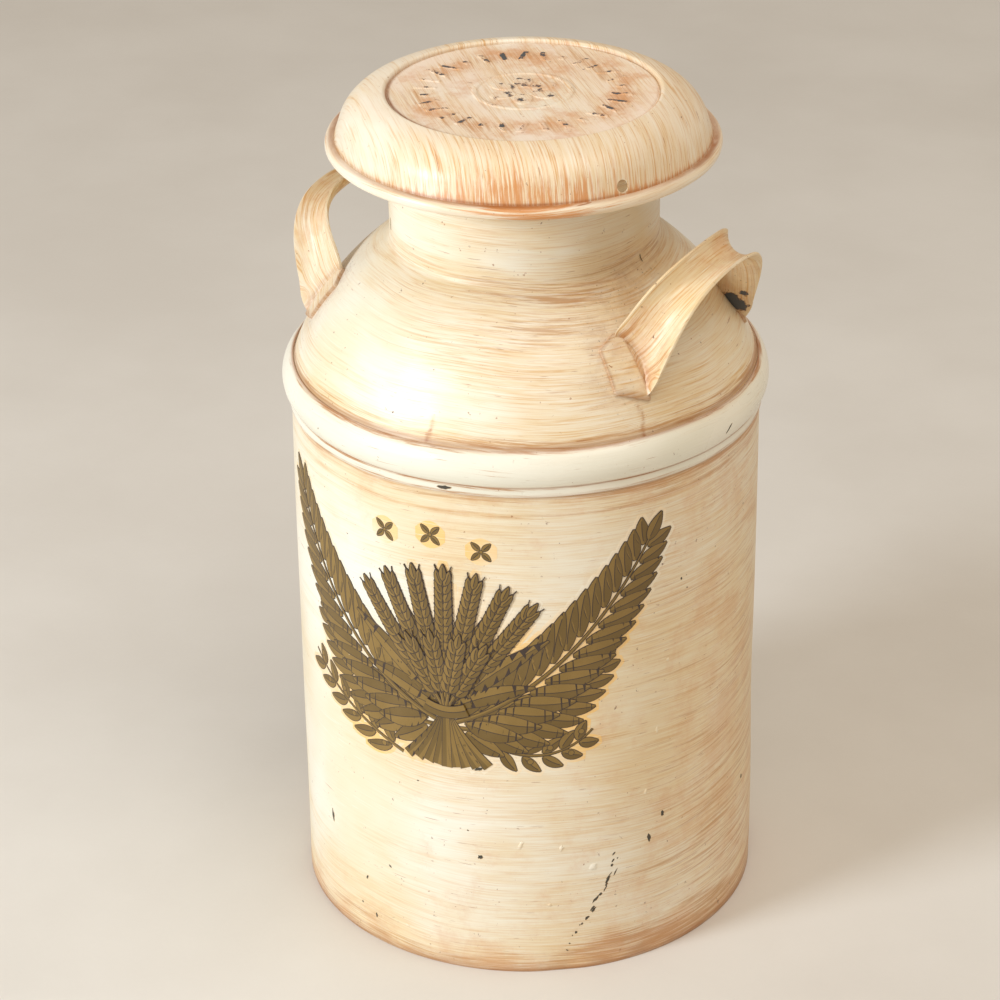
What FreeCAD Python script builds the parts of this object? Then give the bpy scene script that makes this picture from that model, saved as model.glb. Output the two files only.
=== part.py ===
"""Ten-gallon dairy milk can in painted sheet steel, with an umbrella lid.

Millimetres, +Z up, origin at the centre of the base on the floor.
The two handles lie on +X and -X. The decorated front faces -Y, and the side seam runs up
the back on +Y.
"""
import FreeCAD
import Part
import math
import os

Vec = FreeCAD.Vector
AXIS_POINT = Vec(0, 0, 0)
UP = Vec(0, 0, 1)

# --- driving dimensions -------------------------------------------------------------------------
sheet = 1.2                  # wall of the body, lid and pans
breast_sheet = 1.3           # wall of the drawn shoulder and neck
body_r = 165.0               # outer radius of the body, 13 in across
body_top = 408.0             # upper edge of the body, hidden under the hoop
neck_r = 93.3                # outer radius of the neck
total_h = 610.0              # floor to the crest of the lid

# shoulder outline: one large arc, a knuckle into the skirt and a fillet into the neck
shoulder_arc_r = 190.0
shoulder_arc_axis_r = -15.3
shoulder_arc_axis_z = 348.7
knuckle_r = 20.0
neck_fillet_r = 9.0
skirt_bottom = 378.0
neck_top = 597.0

# base
foot_ring_w = 4.8
foot_ring_h = 26.0
pan_crown = 5.0
pan_flange_h = 18.0
pan_corner_r = 5.0

# solder rings
solder_h = 2.6
solder_w = 1.2

# side seam
lap_w = 13.0
lap_top = 383.4
lap_angle = 90.0             # degrees from +X
seam_solder_h = 1.0
seam_solder_toe = 0.05
wedge_r = 180.0              # reaches past the outermost face of the body

# breast hoop: a flat lower band that swells into a half-round bead
hoop_sheet = 1.4
hoop_bottom = 384.2
hoop_band_top = 391.0
hoop_r = 171.0
hoop_crest_z = 403.4
hoop_top_r = 163.3
hoop_top = 417.0

# mouth ring
mouth_bore_r = 90.7
mouth_skirt_bottom = 572.0
mouth_curl_r = 4.6
mouth_curl_z = 601.3
mouth_curl_start = 180.0     # directions about the curl, in degrees
mouth_curl_end = -118.0
mouth_wire_r = 3.2

# handles: a strap with a foot at each end, rolled into a trough at the grip
strap_t = 2.4
pad_t = 2.4
foot_inner = (104.9, 73.6, 473.3)     # inner lip at the foot: out from the axis, along, up
foot_outer = (137.3, 77.5, 439.7)
grip_inner = (138.7, 524.4)           # inner lip at the middle of the grip: out, up
grip_outer = (162.0, 515.5)
foot_rise = 43.8             # degrees between the foot and the leg that leaves it
foot_pull = 28.0
grip_pull = 79.0
trough_depth = 8.5
trough_start = 1.2           # depth of the trough where the leg leaves the pad
trough_reach = 0.55          # share of the leg over which the trough deepens
pad_cover = 0.3              # skin of the pad over the strap that is buried in it
pad_bow = 0.5
foot_lips = (                # inner and outer lip: degrees from the middle, distance from the axis
    (34.6, 127.5, 32.0, 148.8),
    (32.4, 126.8, 28.3, 151.4),
)
leg_stations = (0.14, 0.26, 0.40, 0.55, 0.70, 0.85)
pad_corners = (              # degrees from the handle's middle, distance from the axis
    (26.9, 153.2),
    (36.4, 148.6),
    (38.0, 130.6),
    (32.4, 124.6),
    (29.4, 126.0),
)
left_handle_skew = -1.6      # the left handle sits this many degrees off the opposite point

# lid
plug_r_top = 90.2
plug_r_bottom = 87.6
plug_bottom = 530.0
plug_pan_lift = 7.0
plug_pan_corner_r = 2.5
ledge_inner_r = 80.0
groove_r = 92.7              # where the ledge turns up into the crown
groove_bend_r = 0.5
crest_bend_r = 2.6
crest_turn = 10.0            # degrees that the crest dips below the level as it meets the crown
crown_runs = (               # from the crest outwards: flat run, then bends as (degrees, radius)
    ("run", 3.0),
    ("bend", -14, 45.0),
    ("bend", -48, 29.0),
    ("run", 12.2),
)
disc_r = 92.2
disc_edge_r = 0.6
rim_bead_r = 4.5
rim_bead_axis_r = 131.0
rim_bead_axis_z = 573.9
rim_curl_start = 128.0       # directions about the bead, in degrees
rim_curl_end = -203.0
rim_wire_gap = 0.3
seal_hole_r = 4.25
seal_hole_angle = -29.4      # degrees from +X
seal_hole_out = 126.8
seal_hole_z = 583.4
seal_hole_lift = 18.0        # degrees that the hole points above the level
ledge_z = total_h - crest_bend_r - groove_bend_r
ledge_under_z = ledge_z - sheet

cutter_reach = 12.0           # half length of a cutting prism or drill


# --- small helpers ------------------------------------------------------------------------------
def at(radius, height):
    """A point of a half section, in the XZ plane."""
    return Vec(radius, 0, height)


def polar(radius, degrees, height):
    angle = math.radians(degrees)
    return Vec(radius * math.cos(angle), radius * math.sin(angle), height)


def line(start, end):
    return Part.LineSegment(start, end).toShape()


def arc(start, middle, end):
    return Part.Arc(start, middle, end).toShape()


def circle_point(centre, radius, degrees):
    angle = math.radians(degrees)
    return at(centre.x + radius * math.cos(angle), centre.z + radius * math.sin(angle))


def circle_arc(centre, radius, first, last):
    """Arc of a half section, from one direction to another in degrees, by way of the middle."""
    points = [circle_point(centre, radius, d) for d in (first, (first + last) / 2, last)]
    return arc(*points)


def revolve(edges):
    """Turn a closed half section about the can's axis."""
    face = Part.Face(Part.Wire(Part.__sortEdges__(edges)))
    return face.revolve(AXIS_POINT, UP, 360)


def polygon_section(points):
    closed = points + points[:1]
    return [line(a, b) for a, b in zip(closed, closed[1:])]


def tube(inner, outer, bottom, top):
    points = [at(inner, bottom), at(outer, bottom), at(outer, top), at(inner, top)]
    return revolve(polygon_section(points))


def ring_wire(axis_r, axis_z, radius):
    return Part.makeTorus(axis_r, radius, Vec(0, 0, axis_z), UP)


def curl(centre, radius, thickness, first, last):
    """Rolled edge: a strip bent round the centre between two directions."""
    inner = radius - thickness
    edges = [
        circle_arc(centre, radius, first, last),
        circle_arc(centre, inner, first, last),
        line(circle_point(centre, radius, first), circle_point(centre, inner, first)),
        line(circle_point(centre, radius, last), circle_point(centre, inner, last)),
    ]
    return revolve(edges)


def bent_sheet(start, heading, moves, thickness):
    """Edges of a sheet that follows runs and bends, with its thickness on the right-hand side."""
    def beside(point, offset):
        return circle_point(point, offset, heading - 90)

    edges = [line(start, beside(start, thickness))]
    point = start
    for kind, amount, *radius in moves:
        if kind == "run":
            end = circle_point(point, amount, heading)
            edges.append(line(point, end))
            edges.append(line(beside(point, thickness), beside(end, thickness)))
        else:
            side = math.copysign(1, amount)
            centre = circle_point(point, radius[0], heading + 90 * side)
            first = heading - 90 * side
            edges.append(circle_arc(centre, radius[0], first, first + amount))
            edges.append(circle_arc(centre, radius[0] + side * thickness, first, first + amount))
            end = circle_point(centre, radius[0], first + amount)
            heading += amount
        point = end
    edges.append(line(point, beside(point, thickness)))
    return edges


def angle_of(vector):
    return math.degrees(math.atan2(vector.z, vector.x))


# --- shoulder outline ---------------------------------------------------------------------------
def shoulder_outline(inset):
    """Edges of the shoulder's surface, set in from its outer face, from the skirt to the neck."""
    centre = at(shoulder_arc_axis_r, shoulder_arc_axis_z)
    skirt_r = body_r - sheet
    knuckle_x = skirt_r - knuckle_r
    rise = math.sqrt((shoulder_arc_r - knuckle_r) ** 2 - (knuckle_x - centre.x) ** 2)
    knuckle = at(knuckle_x, centre.z + rise)
    fillet_x = neck_r + neck_fillet_r
    rise = math.sqrt((shoulder_arc_r + neck_fillet_r) ** 2 - (fillet_x - centre.x) ** 2)
    fillet = at(fillet_x, centre.z + rise)
    low = angle_of(knuckle - centre)
    high = angle_of(fillet - centre)
    points = [
        at(skirt_r - inset, skirt_bottom),
        at(skirt_r - inset, knuckle.z),
        circle_point(knuckle, knuckle_r - inset, low),
        circle_point(fillet, neck_fillet_r + inset, high + 180),
        at(neck_r - inset, fillet.z),
        at(neck_r - inset, neck_top),
    ]
    edges = [
        line(points[0], points[1]),
        circle_arc(knuckle, knuckle_r - inset, 0, low),
        circle_arc(centre, shoulder_arc_r - inset, low, high),
        circle_arc(fillet, neck_fillet_r + inset, high + 180, 180),
        line(points[4], points[5]),
    ]
    return edges, points


def shoulder_height(radius):
    """Height of the shoulder's outer face at a distance from the axis."""
    return shoulder_arc_axis_z + math.sqrt(shoulder_arc_r ** 2 - (radius - shoulder_arc_axis_r) ** 2)


def shoulder_core(outset):
    """Solid that fills the can up to the shoulder's outer face, or to a face set out from it."""
    edges, points = shoulder_outline(-outset)
    edges.append(line(points[0], at(0, skirt_bottom)))
    edges.append(line(at(0, skirt_bottom), at(0, neck_top)))
    edges.append(line(at(0, neck_top), points[-1]))
    return revolve(edges)


# --- can ----------------------------------------------------------------------------------------
def make_body_shell():
    """Rolled body sheet, with its outer lap standing proud along the side seam."""
    wall = tube(body_r - sheet, body_r, 0, body_top)
    lap_half_angle = math.degrees(lap_w / 2 / body_r)
    lap = tube(body_r - sheet / 2, body_r + sheet, 0, lap_top)
    wedge = seam_wedge(lap_angle - lap_half_angle, lap_angle + lap_half_angle)
    return wall.fuse(lap.common(wedge)).removeSplitter()


def seam_wedge(first, last):
    """Slice of the can between two directions, tall enough for the side seam."""
    corners = [AXIS_POINT, polar(wedge_r, first, 0), polar(wedge_r, last, 0), AXIS_POINT]
    return Part.Face(Part.makePolygon(corners)).extrude(Vec(0, 0, lap_top))


def make_seam_solder():
    """Solder run in the corner where the outer lap ends."""
    edge_angle = lap_angle + math.degrees(lap_w / 2 / body_r)
    run = math.degrees(solder_h / body_r)
    corner = [
        polar(body_r, edge_angle, 0),
        polar(body_r + seam_solder_h, edge_angle, 0),
        polar(body_r + seam_solder_toe, edge_angle + run, 0),
    ]
    profile = Part.Face(Part.makePolygon(corner + corner[:1]))
    bead = profile.extrude(Vec(0, 0, lap_top))
    can_core = Part.makeCylinder(body_r, lap_top)
    lap_edge = seam_wedge(lap_angle, edge_angle)
    return bead.cut([can_core, lap_edge])


def make_foot_ring():
    """Flat steel band inside the lower edge of the body."""
    outer = body_r - sheet
    return tube(outer - foot_ring_w, outer, 0, foot_ring_h)


def make_bottom_pan():
    """Crowned bottom with a turned-up flange that stands on the foot ring."""
    outer = body_r - sheet
    floor_r = outer - pan_corner_r
    slope = 2 * math.degrees(math.atan(pan_crown / floor_r))
    crown_r = floor_r / math.sin(math.radians(slope)) - pan_corner_r
    moves = (
        ("run", pan_flange_h - pan_corner_r),
        ("bend", -90 - slope, pan_corner_r),
        ("bend", slope, crown_r),
    )
    return revolve(bent_sheet(at(outer, foot_ring_h + pan_flange_h), -90, moves, sheet))


def fillet_ring(corner_r, corner_z, toward_axis, upward):
    """Three-sided solder ring in a corner."""
    points = [
        at(corner_r, corner_z),
        at(corner_r + toward_axis * solder_w, corner_z),
        at(corner_r, corner_z + upward * solder_h),
    ]
    return revolve(polygon_section(points))


def make_bottom_solder():
    """Solder ring over the flange of the bottom, inside the can."""
    return fillet_ring(body_r - sheet, foot_ring_h + pan_flange_h, -1, 1)


def make_breast():
    """Shoulder and neck, drawn from one sheet."""
    outer, outer_points = shoulder_outline(0)
    inner, inner_points = shoulder_outline(breast_sheet)
    ends = [line(outer_points[0], inner_points[0]), line(outer_points[-1], inner_points[-1])]
    return revolve(outer + inner + ends)


def make_breast_solder():
    """Solder ring under the lower edge of the shoulder, inside the can."""
    return fillet_ring(body_r - sheet, skirt_bottom, -1, -1)


def make_breast_hoop():
    """Rolled hoop round the joint of body and shoulder: a flat band and a half-round bead."""
    band = body_r + hoop_sheet
    foot = at(band, hoop_band_top)
    crest = at(hoop_r, hoop_crest_z)
    top = at(hoop_top_r, hoop_top)
    outer = arc(foot, crest, top)
    centre = outer.Curve.Center
    inner_r = outer.Curve.Radius - hoop_sheet
    top_direction = angle_of(top - centre)
    band_rise = math.sqrt(inner_r ** 2 - (body_r - centre.x) ** 2)
    inner_foot = at(body_r, centre.z - band_rise)
    inner_top = circle_point(centre, inner_r, top_direction)
    foot_direction = angle_of(inner_foot - centre)
    edges = [
        outer,
        line(top, inner_top),
        circle_arc(centre, inner_r, foot_direction, top_direction),
        line(inner_foot, at(body_r, hoop_bottom)),
        line(at(body_r, hoop_bottom), at(band, hoop_bottom)),
        line(at(band, hoop_bottom), foot),
    ]
    return revolve(edges).cut(shoulder_core(0))


def mouth_curl_centre():
    return at(mouth_bore_r + mouth_curl_r, mouth_curl_z)


def make_mouth_ring():
    """Ring soldered into the neck, with its upper edge curled outwards over the neck."""
    skirt = tube(mouth_bore_r, mouth_bore_r + breast_sheet, mouth_skirt_bottom, mouth_curl_z)
    edge = curl(mouth_curl_centre(), mouth_curl_r, breast_sheet, mouth_curl_start, mouth_curl_end)
    return skirt.fuse(edge).removeSplitter()


def make_mouth_wire():
    """Wire inside the curl of the mouth ring."""
    centre = mouth_curl_centre()
    return ring_wire(centre.x, centre.z, mouth_wire_r)


def make_mouth_solder():
    """Solder ring under the skirt of the mouth ring, inside the neck."""
    return fillet_ring(neck_r - breast_sheet, mouth_skirt_bottom, -1, -1)


# --- handles ------------------------------------------------------------------------------------
def leg_point(foot, grip, progress):
    """Lip of the strap, from the foot (0) to the middle of the grip (1)."""
    out, spread, height = foot
    lean = Vec(grip[0] - out, 0, grip[1] - height)
    rise = lean.Length
    lean.normalize()
    slope = math.radians(foot_rise)
    along = (-spread, -spread + foot_pull * math.cos(slope), -grip_pull, 0.0)
    up = (0.0, foot_pull * math.sin(slope), rise, rise)
    rest = 1 - progress
    weights = (rest ** 3, 3 * rest ** 2 * progress, 3 * rest * progress ** 2, progress ** 3)
    y = sum(w * a for w, a in zip(weights, along))
    climb = sum(w * u for w, u in zip(weights, up))
    return Vec(out, y, height) + lean * climb


def strap_section(inner, outer, outward, depth):
    """Closed section of the strap between its two lips, hollowed by the depth."""
    across = outer - inner
    half = across.Length / 2
    across.normalize()
    middle = (inner + outer) * 0.5
    normal = outward - across * outward.dot(across)
    normal.normalize()
    sweep = 2 * math.atan(depth / half)

    def face(offset):
        points = []
        for step in (-1.0, -0.5, 0.0, 0.5, 1.0):
            turn = step * sweep
            side = half * math.sin(turn) / math.sin(sweep) + offset * math.sin(turn)
            drop = depth * (math.cos(turn) - math.cos(sweep)) / (1 - math.cos(sweep))
            points.append(middle + across * side - normal * (drop + offset * math.cos(turn)))
        return points

    upper = face(0.0)
    lower = face(strap_t)
    edges = []
    for points in (upper, lower):
        curve = Part.BSplineCurve()
        curve.interpolate(points)
        edges.append(curve.toShape())
    edges.insert(1, line(upper[-1], lower[-1]))
    edges.append(line(lower[0], upper[0]))
    return Part.Wire(Part.__sortEdges__(edges))


def leg_section(progress):
    step = 0.01
    inner = leg_point(foot_inner, grip_inner, progress)
    outer = leg_point(foot_outer, grip_outer, progress)
    ahead = leg_point(foot_inner, grip_inner, progress + step)
    ahead += leg_point(foot_outer, grip_outer, progress + step)
    behind = leg_point(foot_inner, grip_inner, progress - step)
    behind += leg_point(foot_outer, grip_outer, progress - step)
    outward = (outer - inner).cross(ahead - behind)
    ease = min(1.0, progress / trough_reach)
    depth = trough_start + (trough_depth - trough_start) * ease * (2 - ease)
    return inner, outer, outward, depth


def foot_section(inner_angle, inner_r, outer_angle, outer_r):
    """Section of the strap where it lies on the shoulder, just under the face of the pad."""
    lift = pad_t - pad_cover
    normal = shoulder_normal((inner_angle + outer_angle) / 2, (inner_r + outer_r) / 2)
    inner = polar(inner_r, -inner_angle, shoulder_height(inner_r)) + normal * lift
    outer = polar(outer_r, -outer_angle, shoulder_height(outer_r)) + normal * lift
    return inner, outer, normal, -pad_bow


def shoulder_normal(angle, radius):
    out = radius - shoulder_arc_axis_r
    up = shoulder_height(radius) - shoulder_arc_axis_z
    normal = polar(out, -angle, up)
    return normal.normalize()


def mirrored(section):
    """The same section on the other leg, which lies across the XZ plane."""
    inner, outer, outward, depth = section
    flip = [Vec(v.x, -v.y, v.z) for v in (inner, outer, outward)]
    return flip[0], flip[1], flip[2], depth


def make_pad():
    """Foot of the handle: a flat-sided plate that follows the shoulder."""
    angle = sum(c[0] for c in pad_corners) / len(pad_corners)
    radius = sum(c[1] for c in pad_corners) / len(pad_corners)
    normal = shoulder_normal(angle, radius)
    points = [polar(r, -a, shoulder_height(r)) for a, r in pad_corners]
    origin = polar(radius, -angle, shoulder_height(radius)) - normal * cutter_reach
    flat = [p - normal * (p - origin).dot(normal) for p in points]
    outline = Part.Face(Part.makePolygon(flat + flat[:1]))
    prism = outline.extrude(normal * (2 * cutter_reach))
    skin = shoulder_core(pad_t).cut(shoulder_core(0))
    return prism.common(skin)


def make_handle():
    """Handle on +X: one strap, rolled into a trough, with a foot at each end."""
    legs = [leg_section(p) for p in leg_stations]
    feet = [foot_section(*lips) for lips in foot_lips]
    half = feet + legs
    stations = half + [leg_section(1.0)] + [mirrored(s) for s in reversed(half)]
    strap = Part.makeLoft([strap_section(*s) for s in stations], True, False)
    pad = make_pad()
    other_pad = pad.mirror(AXIS_POINT, Vec(0, 1, 0))
    handle = strap.fuse([pad, other_pad]).cut(shoulder_core(0))
    return handle.removeSplitter()


# --- lid ----------------------------------------------------------------------------------------
def rim_bead_centre():
    return at(rim_bead_axis_r, rim_bead_axis_z)


def make_lid_umbrella():
    """Domed cover: the ledge under the disc, groove, crown, steep side and curled rim."""
    moves = (
        ("run", groove_r - ledge_inner_r),
        ("bend", 90, groove_bend_r),
        ("bend", -90 - crest_turn, crest_bend_r),
    ) + crown_runs
    cover = revolve(bent_sheet(at(ledge_inner_r, ledge_z), 0, moves, sheet))
    rim = curl(rim_bead_centre(), rim_bead_r, sheet, rim_curl_start, rim_curl_end)
    axis = seal_hole_axis()
    start = seal_hole_centre() - axis * cutter_reach
    drill = Part.makeCylinder(seal_hole_r, 2 * cutter_reach, start, axis)
    return cover.fuse(rim).removeSplitter().cut(drill)


def seal_hole_centre():
    return polar(seal_hole_out, seal_hole_angle, seal_hole_z)


def seal_hole_axis():
    """Outward normal of the cover's side where the hole is drilled."""
    axis = polar(math.cos(math.radians(seal_hole_lift)), seal_hole_angle, 0)
    axis.z = math.sin(math.radians(seal_hole_lift))
    return axis


def make_lid_disc():
    """Disc let into the top of the cover."""
    top = ledge_z + sheet
    corner = at(disc_r - disc_edge_r, top - disc_edge_r)
    edges = [
        line(at(0, ledge_z), at(disc_r, ledge_z)),
        line(at(disc_r, ledge_z), at(disc_r, corner.z)),
        circle_arc(corner, disc_edge_r, 0, 90),
        line(at(corner.x, top), at(0, top)),
        line(at(0, top), at(0, ledge_z)),
    ]
    return revolve(edges)


def make_lid_rim_wire():
    """Wire that stiffens the rim, loose inside the curl."""
    return ring_wire(rim_bead_axis_r, rim_bead_axis_z, rim_bead_r - sheet - rim_wire_gap)


def plug_r_at(height):
    """Outer radius of the plug, which narrows towards its lower end."""
    share = (height - plug_bottom) / (ledge_under_z - plug_bottom)
    return plug_r_bottom + (plug_r_top - plug_r_bottom) * share


def make_plug_skirt():
    """Tapered skirt of the plug, which hangs from the ledge into the neck."""
    top = ledge_under_z
    points = [
        at(plug_r_bottom - sheet, plug_bottom),
        at(plug_r_bottom, plug_bottom),
        at(plug_r_top, top),
        at(plug_r_top - sheet, top),
    ]
    return revolve(polygon_section(points))


def make_plug_pan():
    """Closed lower end of the plug, with a turned-down flange inside the skirt."""
    floor = plug_bottom + plug_pan_lift
    fit = plug_r_at(plug_bottom) - sheet
    corner = at(fit - plug_pan_corner_r, floor - plug_pan_corner_r)
    edges = [
        line(at(fit, plug_bottom), at(fit, corner.z)),
        circle_arc(corner, plug_pan_corner_r, 0, 90),
        line(at(corner.x, floor), at(0, floor)),
        line(at(0, floor), at(0, floor - sheet)),
        line(at(0, floor - sheet), at(corner.x, floor - sheet)),
        circle_arc(corner, plug_pan_corner_r - sheet, 90, 0),
        line(at(fit - sheet, corner.z), at(fit - sheet, plug_bottom)),
        line(at(fit - sheet, plug_bottom), at(fit, plug_bottom)),
    ]
    return revolve(edges)


def make_plug_solder():
    """Solder ring between the ledge and the top of the tapered skirt, inside the plug."""
    low = ledge_under_z - solder_h
    points = [
        at(plug_r_top - sheet, ledge_under_z),
        at(plug_r_top - sheet - solder_w, ledge_under_z),
        at(plug_r_at(low) - sheet, low),
    ]
    return revolve(polygon_section(points))


def main():
    os.makedirs("parts", exist_ok=True)
    handle = make_handle()
    left_handle = handle.copy()
    left_handle.rotate(AXIS_POINT, UP, 180 + left_handle_skew)
    nodes = {
        "body_shell": make_body_shell(),
        "side_seam_solder": make_seam_solder(),
        "foot_ring": make_foot_ring(),
        "bottom_pan": make_bottom_pan(),
        "bottom_solder": make_bottom_solder(),
        "breast": make_breast(),
        "breast_solder": make_breast_solder(),
        "breast_hoop": make_breast_hoop(),
        "mouth_ring": make_mouth_ring(),
        "mouth_ring_wire": make_mouth_wire(),
        "mouth_solder": make_mouth_solder(),
        "handle_right": handle,
        "handle_left": left_handle,
        "lid_umbrella": make_lid_umbrella(),
        "lid_top_disc": make_lid_disc(),
        "lid_rim_wire": make_lid_rim_wire(),
        "lid_plug_skirt": make_plug_skirt(),
        "lid_plug_pan": make_plug_pan(),
        "lid_plug_solder": make_plug_solder(),
    }
    for name, shape in nodes.items():
        shape.exportStep(os.path.join("parts", name + ".step"))
        box = shape.BoundBox
        print("%-18s %-9s solids %d valid %s volume %.0f  z %.2f to %.2f  r %.1f"
              % (name, shape.ShapeType, len(shape.Solids), shape.isValid(), shape.Volume,
                 box.ZMin, box.ZMax, max(box.XMax, box.YMax)))


main()
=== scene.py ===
import math

import bpy
import numpy as np
from mathutils import Matrix, Vector


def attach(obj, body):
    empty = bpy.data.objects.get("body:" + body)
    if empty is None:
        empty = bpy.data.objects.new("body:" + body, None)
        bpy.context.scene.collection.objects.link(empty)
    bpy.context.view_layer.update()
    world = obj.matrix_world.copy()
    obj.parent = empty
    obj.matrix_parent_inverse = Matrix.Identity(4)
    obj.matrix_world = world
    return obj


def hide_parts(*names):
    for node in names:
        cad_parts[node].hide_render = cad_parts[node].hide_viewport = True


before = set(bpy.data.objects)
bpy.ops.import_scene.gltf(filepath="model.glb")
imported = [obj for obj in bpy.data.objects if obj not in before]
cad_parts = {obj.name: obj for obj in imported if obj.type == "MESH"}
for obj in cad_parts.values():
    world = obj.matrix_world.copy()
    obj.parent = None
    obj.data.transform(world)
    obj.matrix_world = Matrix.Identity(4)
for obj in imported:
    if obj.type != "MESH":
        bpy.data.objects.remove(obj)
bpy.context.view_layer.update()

MM = 0.001
rng = np.random.default_rng(41)

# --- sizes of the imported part, in millimetres ---------------------------------------------------
# Body, breast and neck. The lapped seam runs up the back, at LAP_ANGLE.
SHEET = 1.2
BREAST_SHEET = 1.3
BODY_R = 165.0
BODY_TOP = 408.0
NECK_R = 93.3
NECK_TOP = 597.0
SKIRT_BOTTOM = 378.0
ARC_R = 190.0
ARC_AXIS_R = -15.3
ARC_AXIS_Z = 348.7
KNUCKLE_R = 20.0
FILLET_R = 9.0
LAP_ANGLE = math.radians(90.0)
LAP_HALF = 6.5 / BODY_R
LAP_TOP = 383.4
# Hoop: its lower edge, then three points of its round bead, as distance from the axis and height.
HOOP_SHEET = 1.4
HOOP_BOTTOM = 384.2
HOOP_FOOT = (166.4, 391.0)
HOOP_CREST = (171.0, 403.4)
HOOP_TOP = (163.3, 417.0)
# Lid: the ledge under the disc, the umbrella's runs and bends from there, the disc and the rim's curl.
LEDGE_Z = 606.9
LEDGE_R = 80.0
LID_MOVES = (
    ("run", 12.7), ("bend", 90, 0.5), ("bend", -100, 2.6), ("run", 3.0),
    ("bend", -14, 45.0), ("bend", -48, 29.0), ("run", 12.2),
)
DISC_R = 92.2
DISC_TOP = 608.1
BEAD_R = 4.5
BEAD_CENTRE = (131.0, 573.9)
BEAD_TURN = (128.0, -203.0)
# Marks on the disc, and the hole low on the dome: distance from the axis, direction and height.
BAR_R = 67.0
BAR_PITCH = 2 * math.pi / 30
BLOOM_RING_R = 33.0
DISC_HUB_R = 0.4
HOLE_R = 4.25
HOLE_CENTRE = (126.8, -29.4, 583.4)
HOLE_LIFT = 18.0
DRILL_LENGTH = 24.0
# Handles: the lips of the strap at its foot as out, along and up, and at the grip as out and up.
STRAP_T = 2.4
LIP_BULGE = 0.35
LIP_TRIM = 0.12
PAD_T = 2.4
FOOT_INNER = (104.9, 73.6, 473.3)
FOOT_OUTER = (137.3, 77.5, 439.7)
GRIP_INNER = (138.7, 524.4)
GRIP_OUTER = (162.0, 515.5)
FOOT_RISE = math.radians(43.8)
FOOT_PULL = 28.0
GRIP_PULL = 79.0
TROUGH_DEPTH = 8.5
TROUGH_START = 1.2
TROUGH_REACH = 0.55
PAD_COVER = 0.3
FOOT_SINK = 0.6
FOOT_SCOOP = 7.5
STEPS = 7                     # rows between two stations of the strap
STRAP_COLUMNS = 15
# Each station over the foot plate, and each corner of the plate, as direction and distance out.
FOOT_LIPS = ((34.6, 127.5, 32.0, 148.8), (32.4, 126.8, 28.3, 151.4))
LEG_STATIONS = (0.14, 0.26, 0.40, 0.55, 0.70, 0.85)
PAD_CORNERS = ((26.9, 153.2), (36.4, 148.6), (38.0, 130.6), (32.4, 124.6), (29.4, 126.0))
LEFT_SIDE = 180 - 1.6
LEFT_TURN = math.radians(LEFT_SIDE)
FOOT_SPREAD = 33
# Places that stains and prints follow. Directions are in degrees, with the decorated front at -90.
EMBLEM_ANGLE = -80.0
CREASE_Z = HOOP_TOP[1]
RIM_TOP = BEAD_CENTRE[1] + BEAD_R
RIM_LOW = BEAD_CENTRE[1] - BEAD_R
NECK_FOOT = 509.0
# The side that faces the key light: there the glaze is thinned as painted light, and the groove round the
# disc pools most.
KEY_LIT_SIDE = -128.0
LID_STAIN_SIDE = -60.0


# --- colours ------------------------------------------------------------------------------------
def rgb(red, green, blue):
    """Screen colour, 0 to 255, as a linear colour with alpha."""
    def linear(value):
        value /= 255
        return value / 12.92 if value <= 0.04045 else ((value + 0.055) / 1.055) ** 2.4
    return linear(red), linear(green), linear(blue), 1.0


CREAM = rgb(241, 226, 194)
PALE = rgb(247, 241, 224)
GLAZE_LIGHT = rgb(229, 194, 134)
GLAZE_MID = rgb(212, 156, 82)
GLAZE = rgb(182, 116, 38)
GLAZE_DEEP = rgb(158, 92, 40)
GLAZE_WARM = rgb(214, 146, 86)
GRIME = rgb(160, 108, 76)
SOOT = rgb(62, 46, 34)
STEEL_DARK = rgb(80, 82, 84)
RUST = rgb(128, 70, 36)


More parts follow.
